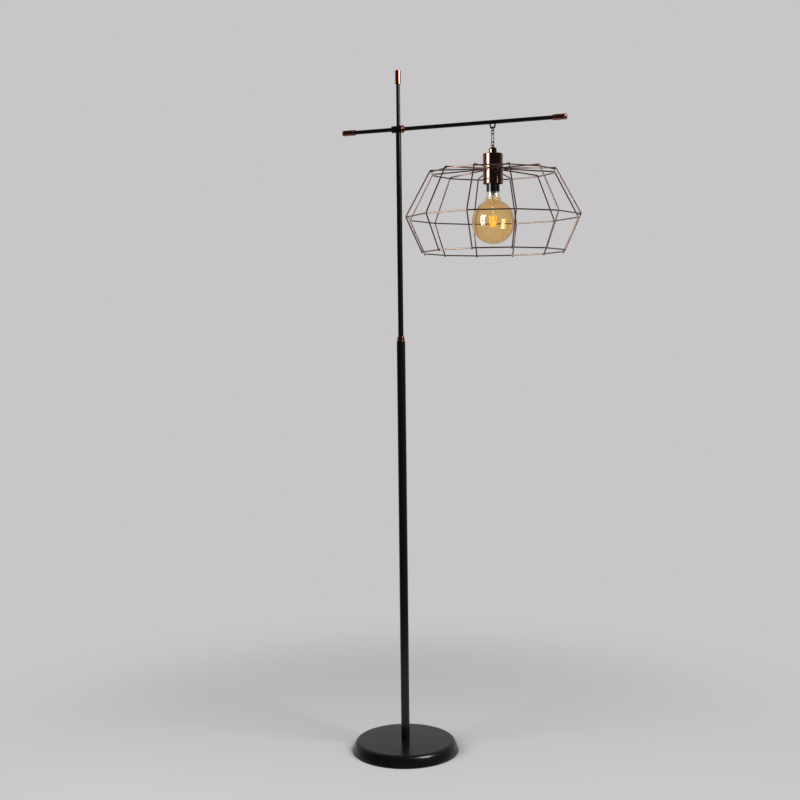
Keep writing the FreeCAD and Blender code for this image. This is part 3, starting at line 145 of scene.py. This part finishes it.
seamless_paper, tree = empty_material("seamless_paper")
place = add(tree, "ShaderNodeTexCoord", {}).outputs["Object"]
reach = add(tree, "ShaderNodeVectorMath", {0: place}, operation="LENGTH")
fade = add(tree, "ShaderNodeMapRange", {
    "Value": reach.outputs["Value"], "From Min": FLOOR_FADE[0], "From Max": FLOOR_FADE[1]},
    interpolation_type="SMOOTHERSTEP")
underside = add(tree, "ShaderNodeNewGeometry", {}).outputs["Backfacing"]
clear = add(tree, "ShaderNodeMath", {0: fade.outputs[0], 1: underside}, operation="MAXIMUM")
paper = add(tree, "ShaderNodeBsdfDiffuse", {"Color": paint(FLOOR_PAPER)})
nothing = add(tree, "ShaderNodeBsdfTransparent", {})
faded = add(tree, "ShaderNodeMixShader", {0: clear.outputs[0], 1: paper.outputs[0],
                                          2: nothing.outputs[0]})
add(tree, "ShaderNodeOutputMaterial", {"Surface": faded.outputs[0]})
floor_mesh.materials.append(seamless_paper)

LIGHT_AIM = Vector((0.12, 0.0, 1.0))
STAND_BODIES = ("base", "clamp", "stem", "arm")

# Each soft box lights the objects in one of these collections, and the floor is in both.
stand_side = bpy.data.collections.new("lit_with_the_stand")
shade_side = bpy.data.collections.new("lit_with_the_shade")


def soft_box(name, side, azimuth, distance, height, width, tall, radiance):
    """Rectangular soft light for one side, by degrees round the lamp from the camera."""
    box_data = bpy.data.lights.new(name, "AREA")
    box_data.shape = "RECTANGLE"
    box_data.size = width
    box_data.size_y = tall
    box_data.energy = radiance * math.pi * width * tall
    box = bpy.data.objects.new(name, box_data)
    around = ARM_AZIMUTH + math.radians(azimuth)
    box.location = (distance * math.sin(around), -distance * math.cos(around), height)
    box.rotation_euler = (LIGHT_AIM - box.location).to_track_quat("-Z", "Y").to_euler()
    box.light_linking.receiver_collection = side
    bpy.context.scene.collection.objects.link(box)


soft_box("right_box", stand_side, azimuth=57, distance=2.1, height=2.5,
         width=1.0, tall=1.7, radiance=20.0)
soft_box("left_box", shade_side, azimuth=-59, distance=2.2, height=1.55,
         width=1.15, tall=1.7, radiance=12.0)
soft_box("right_strip", shade_side, azimuth=50, distance=2.2, height=1.05,
         width=0.25, tall=1.1, radiance=2.5)
stand_side.objects.link(floor)
shade_side.objects.link(floor)

# ------------------------------------------------------------------ foot
# Spun steel dish with a leaning side, a broad round edge and a hole for the cable outlet at
# the back, powder coated black: satin, with the faint orange peel that powder leaves. The
# weight, pad and ties inside it keep their solids' shape.

MM = 0.001
WELD = 1e-6
CREASE = math.radians(35)
COVER_WALL = 1.5 * MM
FOOT_LEAN = math.radians(22.6)
FOOT_EDGE = 12 * MM
RIM_HEIGHT = 2 * MM
TIE_HOLE = 5 * MM
OUTLET_HEIGHT = 10.5 * MM
OUTLET_HOLE = 4.25 * MM
FINE_EDGE = 0.35 * MM


def finished(form, name, material, soften=0.0):
    """Object from a form: doubles merged, faces turned out, smooth but for its corners."""
    bmesh.ops.remove_doubles(form, verts=form.verts[:], dist=WELD)
    bmesh.ops.recalc_face_normals(form, faces=form.faces[:])
    mesh = bpy.data.meshes.new(name)
    form.to_mesh(mesh)
    form.free()
    mesh.shade_smooth()
    mesh.set_sharp_from_angle(angle=CREASE)
    mesh.materials.append(material)
    piece = bpy.data.objects.new(name, mesh)
    bpy.context.scene.collection.objects.link(piece)
    if soften:
        rounding = piece.modifiers.new("fine_edges", "BEVEL")
        rounding.width = soften
        rounding.segments = 2
        rounding.limit_method = "ANGLE"
        rounding.angle_limit = CREASE
    return piece


def spun(start, moves, steps):
    """Form turned about Z from an outline in the XZ plane.

    A move is a point (x, z) to go straight to, or (x, z, degrees, count) for an arc about
    that centre. Positive degrees turn from +Z towards +X.
    """
    form = bmesh.new()
    tip = form.verts.new((start[0], 0, start[1]))
    for move in moves:
        if len(move) == 2:
            tip = bmesh.ops.extrude_vert_indiv(form, verts=[tip])["verts"][0]
            tip.co = (move[0], 0, move[1])
            continue
        x, z, degrees, count = move
        bend = bmesh.ops.spin(form, geom=[tip], cent=(x, 0, z), axis=(0, 1, 0),
                              angle=math.radians(degrees), steps=count)
        tip = next(part for part in bend["geom_last"] if isinstance(part, bmesh.types.BMVert))
    outline = form.verts[:] + form.edges[:]
    bmesh.ops.spin(form, geom=outline, cent=(0, 0, 0), axis=(0, 0, 1), angle=math.tau,
                   steps=steps, use_merge=True)
    return form


def stand(form, place, tilt=0.0):
    """Turns a form about Y by degrees and moves it to its place."""
    tip_over = Matrix.Rotation(math.radians(tilt), 3, "Y")
    bmesh.ops.rotate(form, verts=form.verts[:], cent=(0, 0, 0), matrix=tip_over)
    bmesh.ops.translate(form, verts=form.verts[:], vec=place)
    return form


def fit(piece, node, body):
    """Puts a finished piece in its CAD node's place, on its body, in its body's light."""
    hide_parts(node)
    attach(piece, body)
    side = stand_side if body in STAND_BODIES else shade_side
    side.objects.link(piece)


def powder_coat():
    """Black polyester powder coat: near-black, satin, with fine grain and soft orange peel.

    The real grain of about 0.1 mm is too fine to show, so it is drawn at 0.8 mm.
    """
    grain, peel = 0.8 * MM, 6 * MM
    material, tree = empty_material("satin_black_powder_coat")
    place = add(tree, "ShaderNodeTexCoord", {}).outputs["Object"]
    fine = add(tree, "ShaderNodeTexNoise", {"Vector": place, "Scale": 1 / grain}).outputs[0]
    broad = add(tree, "ShaderNodeTexNoise", {"Vector": place, "Scale": 1 / peel}).outputs[0]
    tone = add(tree, "ShaderNodeMix", {0: broad, 6: paint("#0c0b0a"), 7: paint("#12100e")},
               data_type="RGBA")
    rough = add(tree, "ShaderNodeMapRange", {"Value": fine, "To Min": 0.2, "To Max": 0.27})
    height = add(tree, "ShaderNodeMath", {0: fine, 1: 0.3, 2: broad}, operation="MULTIPLY_ADD")
    skin = add(tree, "ShaderNodeBump", {"Height": height.outputs[0], "Strength": 0.1,
                                        "Distance": 0.02 * MM})
    coat = add(tree, "ShaderNodeBsdfPrincipled", {
        "Base Color": tone.outputs[2], "Roughness": rough.outputs[0], "IOR": 1.38,
        "Normal": skin.outputs[0]})
    add(tree, "ShaderNodeOutputMaterial", {"Surface": coat.outputs[0]})
    return material


black_coat = powder_coat()
low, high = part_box("base_cover")
rim = (high[0] - low[0]) / 2
lean_in = math.tan(FOOT_LEAN)
side_run = high[2] - RIM_HEIGHT
shoulder = rim - side_run * lean_in
edge_arc = math.degrees(math.pi / 2 - FOOT_LEAN)
edge_x = shoulder - FOOT_EDGE * math.tan(math.pi / 4 - FOOT_LEAN / 2)
edge_z = high[2] - FOOT_EDGE
side_end = (edge_x + FOOT_EDGE * math.cos(FOOT_LEAN), edge_z + FOOT_EDGE * math.sin(FOOT_LEAN))
inner_edge = FOOT_EDGE - COVER_WALL
inner_end = (edge_x + inner_edge * math.cos(FOOT_LEAN), edge_z + inner_edge * math.sin(FOOT_LEAN))
inner_low = inner_end[0] + (inner_end[1] - low[2]) * lean_in
form = spun((inner_low, low[2]), [
    (rim, low[2]),
    (rim, RIM_HEIGHT),
    side_end,
    (edge_x, edge_z, -edge_arc, 14),
    (TIE_HOLE, high[2]),
    (TIE_HOLE, high[2] - COVER_WALL),
    (edge_x, edge_z + inner_edge),
    (edge_x, edge_z, edge_arc, 10),
    (inner_low, low[2]),
], steps=180)
foot_cover = finished(form, "foot_cover", black_coat, FINE_EDGE)

# A drill square to the leaning side cuts the outlet's hole and is then taken away.
drill_form = bmesh.new()
bmesh.ops.create_cone(drill_form, cap_ends=True, segments=48, radius1=OUTLET_HOLE,
                      radius2=OUTLET_HOLE, depth=4 * COVER_WALL)
bmesh.ops.rotate(drill_form, verts=drill_form.verts[:], cent=(0, 0, 0),
                 matrix=Matrix.Rotation(FOOT_LEAN - math.pi / 2, 3, "X"))
outlet_out = rim - (OUTLET_HEIGHT - RIM_HEIGHT) * lean_in
bmesh.ops.translate(drill_form, verts=drill_form.verts[:], vec=(0, outlet_out, OUTLET_HEIGHT))
drill = finished(drill_form, "drill", black_coat)
cut = foot_cover.modifiers.new("outlet_hole", "BOOLEAN")
cut.object = drill
cut.operation = "DIFFERENCE"
cut.solver = "EXACT"
drilled = foot_cover.evaluated_get(bpy.context.evaluated_depsgraph_get())
foot_cover.data = bpy.data.meshes.new_from_object(drilled)
foot_cover.modifiers.clear()
bpy.data.objects.remove(drill)
fit(foot_cover, "base_cover", "base")


def moulded(name, low_code, high_code, shine):
    """Moulded plastic, rubber or glaze: one colour with a faint cloud and an even sheen."""
    cloud, uneven = 12 * MM, 0.1
    material, tree = empty_material(name)
    place = add(tree, "ShaderNodeTexCoord", {}).outputs["Object"]
    noise = add(tree, "ShaderNodeTexNoise", {"Vector": place, "Scale": 1 / cloud}).outputs[0]
    tone = add(tree, "ShaderNodeMix", {0: noise, 6: paint(low_code), 7: paint(high_code)},
               data_type="RGBA")
    rough = add(tree, "ShaderNodeMapRange", {
        "Value": noise, "To Min": shine * (1 - uneven), "To Max": shine * (1 + uneven)})
    skin = add(tree, "ShaderNodeBsdfPrincipled", {
        "Base Color": tone.outputs[2], "Roughness": rough.outputs[0]})
    add(tree, "ShaderNodeOutputMaterial", {"Surface": skin.outputs[0]})
    return material


def metal(name, low_code, high_code, shine, cloud_mm=3.0, lacquer=0.0):
    """Bare or plated metal, its tone and polish changing slightly, with or without lacquer."""
    material, tree = empty_material(name)
    place = add(tree, "ShaderNodeTexCoord", {}).outputs["Object"]
    cloud, uneven = cloud_mm * MM, 0.25
    noise = add(tree, "ShaderNodeTexNoise", {"Vector": place, "Scale": 1 / cloud}).outputs[0]
    tone = add(tree, "ShaderNodeMix", {0: noise, 6: paint(low_code), 7: paint(high_code)},
               data_type="RGBA")
    rough = add(tree, "ShaderNodeMapRange", {
        "Value": noise, "To Min": shine * (1 - uneven), "To Max": shine * (1 + uneven)})
    skin = add(tree, "ShaderNodeBsdfPrincipled", {
        "Base Color": tone.outputs[2], "Metallic": 1.0, "Roughness": rough.outputs[0],
        "Coat Weight": lacquer})
    add(tree, "ShaderNodeOutputMaterial", {"Surface": skin.outputs[0]})
    return material


def refinish(material, *names):
    """Gives CAD nodes their real finish, and both sides' light."""
    for name in names:
        nodes[name].data.materials.clear()
        nodes[name].data.materials.append(material)
        stand_side.objects.link(nodes[name])
        shade_side.objects.link(nodes[name])


refinish(moulded("black_pad_rubber", "#141414", "#1c1b1a", shine=0.75), "base_pad")
black_nylon = moulded("moulded_black_nylon", "#121212", "#191918", shine=0.45)
refinish(black_nylon, "cord_grommet", "clamp_ferrule")
refinish(metal("rough_cast_iron", "#3a3a3a", "#4a4a49", shine=0.6), "base_weight")
zinc = metal("zinc_plated_steel", "#b9babc", "#cfd0d2", shine=0.32)
refinish(zinc, "base_stem", "base_nut", "pole_foot_plug")

# ------------------------------------------------------------------ pole, stem and arm
# Drawn steel tubes, powder coated like the foot: a wide lower tube on the foot, a thin one
# that slides in it, the cross fitting and the long arm through it.

POLE_WALL = 1.2 * MM
THIN_WALL = 1.0 * MM


def tube_form(radius, wall, length):
    """Round tube with open ends, from the origin up Z."""
    bore = radius - wall
    return spun((bore, 0), [(radius, 0), (radius, length), (bore, length), (bore, 0)], steps=64)


for node, wall, body in (("lower_pole", POLE_WALL, "base"), ("upper_tube", THIN_WALL, "stem"),
                         ("top_tube", THIN_WALL, "stem")):
    low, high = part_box(node)
    form = tube_form((high[0] - low[0]) / 2, wall, high[2] - low[2])
    piece = finished(stand(form, (0, 0, low[2])), f"{node}_coated", black_coat, FINE_EDGE / 2)
    fit(piece, node, body)

low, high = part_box("arm_tube")
arm_height = (low[2] + high[2]) / 2
form = tube_form((high[1] - low[1]) / 2, THIN_WALL, high[0] - low[0])
arm = finished(stand(form, (low[0], 0, arm_height), 90), "arm_coated", black_coat, FINE_EDGE / 2)
fit(arm, "arm_tube", "arm")


def smoothed(node, material, body):
    """A CAD piece with its facets merged and shaded round, in its real finish."""
    form = bmesh.new()
    form.from_mesh(nodes[node].data)
    piece = finished(form, f"{node}_finished", material)
    fit(piece, node, body)


smoothed("cross_barrel", black_coat, "stem")
smoothed("hanging_staple", black_coat, "arm")
refinish(moulded("natural_nylon", "#d8d4c8", "#e2dfd5", shine=0.5), "slide_guide")

# ------------------------------------------------------------------ copper trim
# Turned caps, collar and clamp ring, copper plated and finely brushed, so the light spreads
# into a soft streak along each. The hub round the arm is a darker, polished copper.

CAP_ROUND = 1.8 * MM
CAP_SOCKET = 20 * MM
GROOVE_WIDTH = 1.2 * MM
GROOVE_DEPTH = 0.5 * MM
GROOVE_PLACE = 3.5 * MM


def brushed_copper():
    """Copper plate, pinkish brown, with a fine brushed grain and a faint stain.

    The real grain of 0.05 mm is drawn at 0.5 mm so that it shows, and the same every way.
    """
    scratch, cloud = 0.5 * MM, 7 * MM
    material, tree = empty_material("brushed_copper_plate")
    place = add(tree, "ShaderNodeTexCoord", {}).outputs["Object"]
    lines = add(tree, "ShaderNodeTexNoise", {"Vector": place, "Scale": 1 / scratch}).outputs[0]
    stain = add(tree, "ShaderNodeTexNoise", {"Vector": place, "Scale": 1 / cloud}).outputs[0]
    tone = add(tree, "ShaderNodeMix", {0: stain, 6: paint("#935e50"), 7: paint("#ac7868")},
               data_type="RGBA")
    rough = add(tree, "ShaderNodeMapRange", {"Value": lines, "To Min": 0.14, "To Max": 0.2})
    skin = add(tree, "ShaderNodeBump", {"Height": lines, "Strength": 0.1, "Distance": 0.01 * MM})
    plate = add(tree, "ShaderNodeBsdfPrincipled", {
        "Base Color": tone.outputs[2], "Metallic": 1.0, "Roughness": rough.outputs[0],
        "Normal": skin.outputs[0]})
    add(tree, "ShaderNodeOutputMaterial", {"Surface": plate.outputs[0]})
    return material


def cap_form(radius, length, tube_node):
    """Cap with two turned grooves and a rounded closed end at +Z, open at the origin."""
    tube_low, tube_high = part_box(tube_node)
    bore = (tube_high[1] - tube_low[1]) / 2
    groove = radius - GROOVE_DEPTH
    moves = [(radius, 0)]
    for start in (GROOVE_PLACE, length - GROOVE_PLACE - GROOVE_WIDTH):
        end = start + GROOVE_WIDTH
        moves += [(radius, start), (groove, start), (groove, end), (radius, end)]
    moves += [(radius, length - CAP_ROUND), (radius - CAP_ROUND, length - CAP_ROUND, -90, 8),
              (0, length), (0, CAP_SOCKET), (bore, CAP_SOCKET), (bore, 0)]
    return spun((bore, 0), moves, steps=72)


copper = brushed_copper()
low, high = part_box("top_cap")
cap_radius = (high[0] - low[0]) / 2
cap_length = high[2] - low[2]
for node, tube, place, tilt, body in (
        ("top_cap", "top_tube", (0, 0, low[2]), 0, "stem"),
        ("short_arm_cap", "arm_tube", (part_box("short_arm_cap")[1][0], 0, arm_height), -90, "arm"),
        ("long_arm_cap", "arm_tube", (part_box("long_arm_cap")[0][0], 0, arm_height), 90, "arm")):
    form = stand(cap_form(cap_radius, cap_length, tube), place, tilt)
    piece = finished(form, f"{node}_turned", copper, FINE_EDGE / 3)
    fit(piece, node, body)
smoothed("arm_lock_ring", copper, "stem")
dark_copper = metal("polished_dark_copper", "#77523f", "#89634f", shine=0.05, cloud_mm=9.0,
                    lacquer=1.0)
smoothed("arm_lock_nut", dark_copper, "stem")

COLLAR_SHOULDER = 8.5 * MM
COLLAR_CONE = 4.5 * MM
COLLAR_ROUND = 1.55 * MM
COLLAR_BORE = 6.45 * MM
SPIGOT_RADIUS = 7.55 * MM
low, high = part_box("copper_collar")
pole_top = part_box("lower_pole")[1][2]
collar_height = high[2] - pole_top
spigot_low = low[2] - pole_top
form = spun((COLLAR_BORE, spigot_low), [
    (SPIGOT_RADIUS, spigot_low),
    (SPIGOT_RADIUS, 0),
    ((high[0] - low[0]) / 2, 0),
    (COLLAR_SHOULDER, COLLAR_CONE),
    (COLLAR_SHOULDER, collar_height - COLLAR_ROUND),
    (COLLAR_SHOULDER - COLLAR_ROUND, collar_height - COLLAR_ROUND, -90, 8),
    (COLLAR_BORE, collar_height),
    (COLLAR_BORE, spigot_low),
], steps=72)
collar = finished(stand(form, (0, 0, pole_top)), "collar_turned", copper, FINE_EDGE / 2)
fit(collar, "copper_collar", "base")
brass = metal("pressed_brass", "#b08a4a", "#c9a463", shine=0.28)
refinish(brass, "top_bush")

# ------------------------------------------------------------------ chain
# Links and cap loop of bent steel wire, dark plated: nearly black, with a thin warm glint
# where the light runs along the wire.

CHAIN_LINKS = 4

dark_wire = metal("dark_plated_wire", "#231d1a", "#3a322e", shine=0.3, cloud_mm=1.5)
for number in range(1, CHAIN_LINKS + 1):
    smoothed(f"chain_link_{number}", dark_wire, f"link_{number}")
smoothed("cap_loop", dark_wire, "pendant")

# ------------------------------------------------------------------ socket cover
# Deep drawn steel cup with a small rolled lip, plated with dark copper, polished to a mirror
# and lacquered, and the domed cap on top of it in the same finish.

CUP_WALL = 0.8 * MM
CUP_EDGE = 2.0 * MM
CUP_LIP = 0.5 * MM
CUP_LIP_HEIGHT = 1.4 * MM
NECK_ROUND = 5.2 * MM
NECK_BORE = 8.0 * MM

low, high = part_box("socket_cover")
pendant_axis = (low[0] + high[0]) / 2
cup_height = high[2] - low[2]
cup_lip = (high[0] - low[0]) / 2
cup_radius = cup_lip - CUP_LIP
cup_inside = cup_radius - CUP_WALL
form = spun((TIE_HOLE, 0), [
    (cup_radius - CUP_EDGE, 0),
    (cup_radius - CUP_EDGE, -CUP_EDGE, 90, 8),
    (cup_radius, CUP_LIP_HEIGHT - cup_height),
    (cup_lip, CUP_LIP_HEIGHT - cup_height),
    (cup_lip, -cup_height),
    (cup_inside, -cup_height),
    (cup_inside, -CUP_EDGE),
    (cup_radius - CUP_EDGE, -CUP_EDGE, -90, 6),
    (TIE_HOLE, -CUP_WALL),
    (TIE_HOLE, 0),
], steps=128)
cup = finished(stand(form, (pendant_axis, 0, high[2])), "socket_cup", dark_copper, FINE_EDGE / 2)
fit(cup, "socket_cover", "pendant")

low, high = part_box("neck_cap")
neck_radius = (high[0] - low[0]) / 2
neck_height = high[2] - low[2]
form = spun((TIE_HOLE, 0), [
    (neck_radius, 0),
    (neck_radius, neck_height - NECK_ROUND),
    (neck_radius - NECK_ROUND, neck_height - NECK_ROUND, -90, 12),
    (0, neck_height),
    (0, NECK_BORE),
    (TIE_HOLE, NECK_BORE),
    (TIE_HOLE, 0),
], steps=72)
neck = finished(stand(form, (pendant_axis, 0, low[2])), "neck_dome", dark_copper, FINE_EDGE / 2)
fit(neck, "neck_cap", "pendant")

# ------------------------------------------------------------------ lamp holder
# Black phenolic holder with a hard gloss. Its core, brass shell, contact and screws show
# only with the bulb out.

HOLDER_WALL = 0.9 * MM

phenolic = moulded("glossy_black_phenolic", "#0a0a0a", "#0f0f0f", shine=0.16)
low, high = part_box("holder_shell")
holder_low = low[2]
form = tube_form((high[0] - low[0]) / 2, HOLDER_WALL, high[2] - low[2])
holder = finished(stand(form, (pendant_axis, 0, low[2])), "holder_tube", phenolic, FINE_EDGE)
fit(holder, "holder_shell", "pendant")
refinish(phenolic, "holder_cap", "bulb_insulator")
refinish(moulded("glazed_porcelain", "#dedad0", "#e8e5dc", shine=0.2), "holder_core")
refinish(brass, "screw_shell", "centre_contact", "terminal_screws")
refinish(zinc, "threaded_nipple", "nipple_nut", "bulb_cap", "bulb_contact")

# ------------------------------------------------------------------ bulb
# Blown globe with an amber stain that fades to clear glass over the neck, a clear glass
# stem, and four glowing rods loaded with orange phosphor on thin wires.

GLASS_WALL = 0.8 * MM
BAND = 3.8 * MM
NECK_LOW = 16.9 * MM
NECK_TOP = 14.6 * MM
NECK_RUN = 13.5 * MM
NECK_CURVE = 8.0 * MM
SEAL_RADIUS = 12.7 * MM
SHOULDER_GAP = 0.3 * MM
STAIN_TOP = 6 * MM
STAIN_RUN = 14 * MM
RODS = 4
ROD_RADIUS = 1.6 * MM
ROD_TOP_SPREAD = 8.2 * MM
ROD_LOW_SPREAD = 5.2 * MM
ROD_TURN = math.radians(34)


def glass(tree, tone, rough):
    """Glass of a tone that lets light pass straight through to cast a pale shadow."""
    rays = add(tree, "ShaderNodeLightPath", {}).outputs
    clear = add(tree, "ShaderNodeBsdfPrincipled", {
        "Base Color": tone, "Roughness": rough, "IOR": 1.52, "Transmission Weight": 1.0})
    shade = add(tree, "ShaderNodeBsdfTransparent", {"Color": tone})
    passing = add(tree, "ShaderNodeMixShader", {0: rays["Is Shadow Ray"], 1: clear.outputs[0],
                                                2: shade.outputs[0]})
    add(tree, "ShaderNodeOutputMaterial", {"Surface": passing.outputs[0]})


def stained_glass(top):
    """Soda glass stained amber, deeper at its outline, fading to clear up to a height."""
    material, tree = empty_material("amber_stained_glass")
    place = add(tree, "ShaderNodeTexCoord", {}).outputs["Object"]
    height = add(tree, "ShaderNodeSeparateXYZ", {0: place})
    stain = add(tree, "ShaderNodeMapRange", {
        "Value": height.outputs["Z"], "From Min": top - STAIN_RUN, "From Max": top},
        interpolation_type="SMOOTHSTEP")
    rim = add(tree, "ShaderNodeLayerWeight", {"Blend": 0.35}).outputs["Facing"]
    thick = add(tree, "ShaderNodeMix", {0: rim, 6: paint("#fde8be"), 7: paint("#eec084")},
                data_type="RGBA")
    tone = add(tree, "ShaderNodeMix", {0: stain.outputs[0], 6: thick.outputs[2],
                                       7: paint("#fbf8f2")}, data_type="RGBA")
    glass(tree, tone.outputs[2], rough=0.0)
    return material


low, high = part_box("bulb_glass")
globe_radius = (high[0] - low[0]) / 2
globe_centre = low[2] + globe_radius
lip = holder_low - SHOULDER_GAP - globe_centre
neck_normal = math.atan2(NECK_RUN, NECK_TOP - NECK_LOW) - math.pi / 2
centres_apart = globe_radius + NECK_CURVE
offset = NECK_TOP * math.cos(neck_normal) + lip * math.sin(neck_normal) + NECK_CURVE
swing = neck_normal + math.acos((offset - BAND * math.sin(neck_normal)) / centres_apart)
hollow = (centres_apart * math.cos(swing), BAND + centres_apart * math.sin(swing))
form = spun((0, -globe_radius), [
    (0, 0, -90, 32),
    (globe_radius, BAND),
    (0, BAND, -math.degrees(swing), 28),
    (*hollow, math.degrees(swing - neck_normal), 10),
    (NECK_TOP, lip),
    (SEAL_RADIUS, lip),
    (SEAL_RADIUS, high[2] - globe_centre),
], steps=128)
bmesh.ops.remove_doubles(form, verts=form.verts[:], dist=WELD)
bmesh.ops.recalc_face_normals(form, faces=form.faces[:])
bmesh.ops.solidify(form, geom=form.faces[:], thickness=GLASS_WALL)
stand(form, (pendant_axis, 0, globe_centre))
globe = finished(form, "globe", stained_glass(holder_low - STAIN_TOP))
fit(globe, "bulb_glass", "pendant")


def phosphor():
    """Silicone rods loaded with phosphor: matt yellow-orange, faintly uneven, glowing."""
    grain = 1.5 * MM
    material, tree = empty_material("orange_phosphor")
    place = add(tree, "ShaderNodeTexCoord", {}).outputs["Object"]
    noise = add(tree, "ShaderNodeTexNoise", {"Vector": place, "Scale": 1 / grain}).outputs[0]
    tone = add(tree, "ShaderNodeMix", {0: noise, 6: paint("#f0ac38"), 7: paint("#f8c45c")},
               data_type="RGBA")
    rod = add(tree, "ShaderNodeBsdfPrincipled", {
        "Base Color": tone.outputs[2], "Roughness": 0.5, "Emission Color": tone.outputs[2],
        "Emission Strength": 0.4})
    add(tree, "ShaderNodeOutputMaterial", {"Surface": rod.outputs[0]})
    return material


stem_glass, tree = empty_material("clear_stem_glass")
glass(tree, paint("#f6f4ee"), rough=0.02)
smoothed("bulb_stem", stem_glass, "pendant")
low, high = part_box("bulb_filaments")
rods = bmesh.new()
lean = math.atan2(ROD_TOP_SPREAD - ROD_LOW_SPREAD, high[2] - low[2])
straight_rod = (high[2] - low[2]) / math.cos(lean) - 2 * ROD_RADIUS
rod = spun((0, -straight_rod / 2 - ROD_RADIUS), [
    (0, -straight_rod / 2, -90, 6),
    (ROD_RADIUS, straight_rod / 2),
    (0, straight_rod / 2, -90, 6),
], steps=24)
bmesh.ops.remove_doubles(rod, verts=rod.verts[:], dist=WELD)
stand(rod, ((ROD_TOP_SPREAD + ROD_LOW_SPREAD) / 2, 0, 0), math.degrees(lean))
rod_mesh = bpy.data.meshes.new("rod")
rod.to_mesh(rod_mesh)
rod.free()
for _ in range(RODS):
    rods.from_mesh(rod_mesh)
    bmesh.ops.rotate(rods, verts=rods.verts[:], cent=(0, 0, 0),
                     matrix=Matrix.Rotation(math.tau / RODS, 3, "Z"))
bmesh.ops.rotate(rods, verts=rods.verts[:], cent=(0, 0, 0),
                 matrix=Matrix.Rotation(ROD_TURN, 3, "Z"))
stand(rods, (pendant_axis, 0, (low[2] + high[2]) / 2))
fit(finished(rods, "glowing_rods", phosphor()), "bulb_filaments", "pendant")
smoothed("bulb_wires", zinc, "pendant")

# ------------------------------------------------------------------ cage
# Steel wire 3.1 mm thick, bent, spot welded and plated a brown copper with lacquer: twelve
# bent ribs, three twelve-sided rings, and a round ring that hugs the socket cover.

RIBS = 12

cage_copper = metal("brown_copper_plated_wire", "#6d4e40", "#8a6d60", shine=0.36,
                    cloud_mm=14.0, lacquer=1.0)
for ring in ("hub", "top", "middle", "bottom"):
    smoothed(f"cage_{ring}_ring", cage_copper, "pendant")
for number in range(1, RIBS + 1):
    smoothed(f"cage_rib_{number:02d}", cage_copper, "pendant")
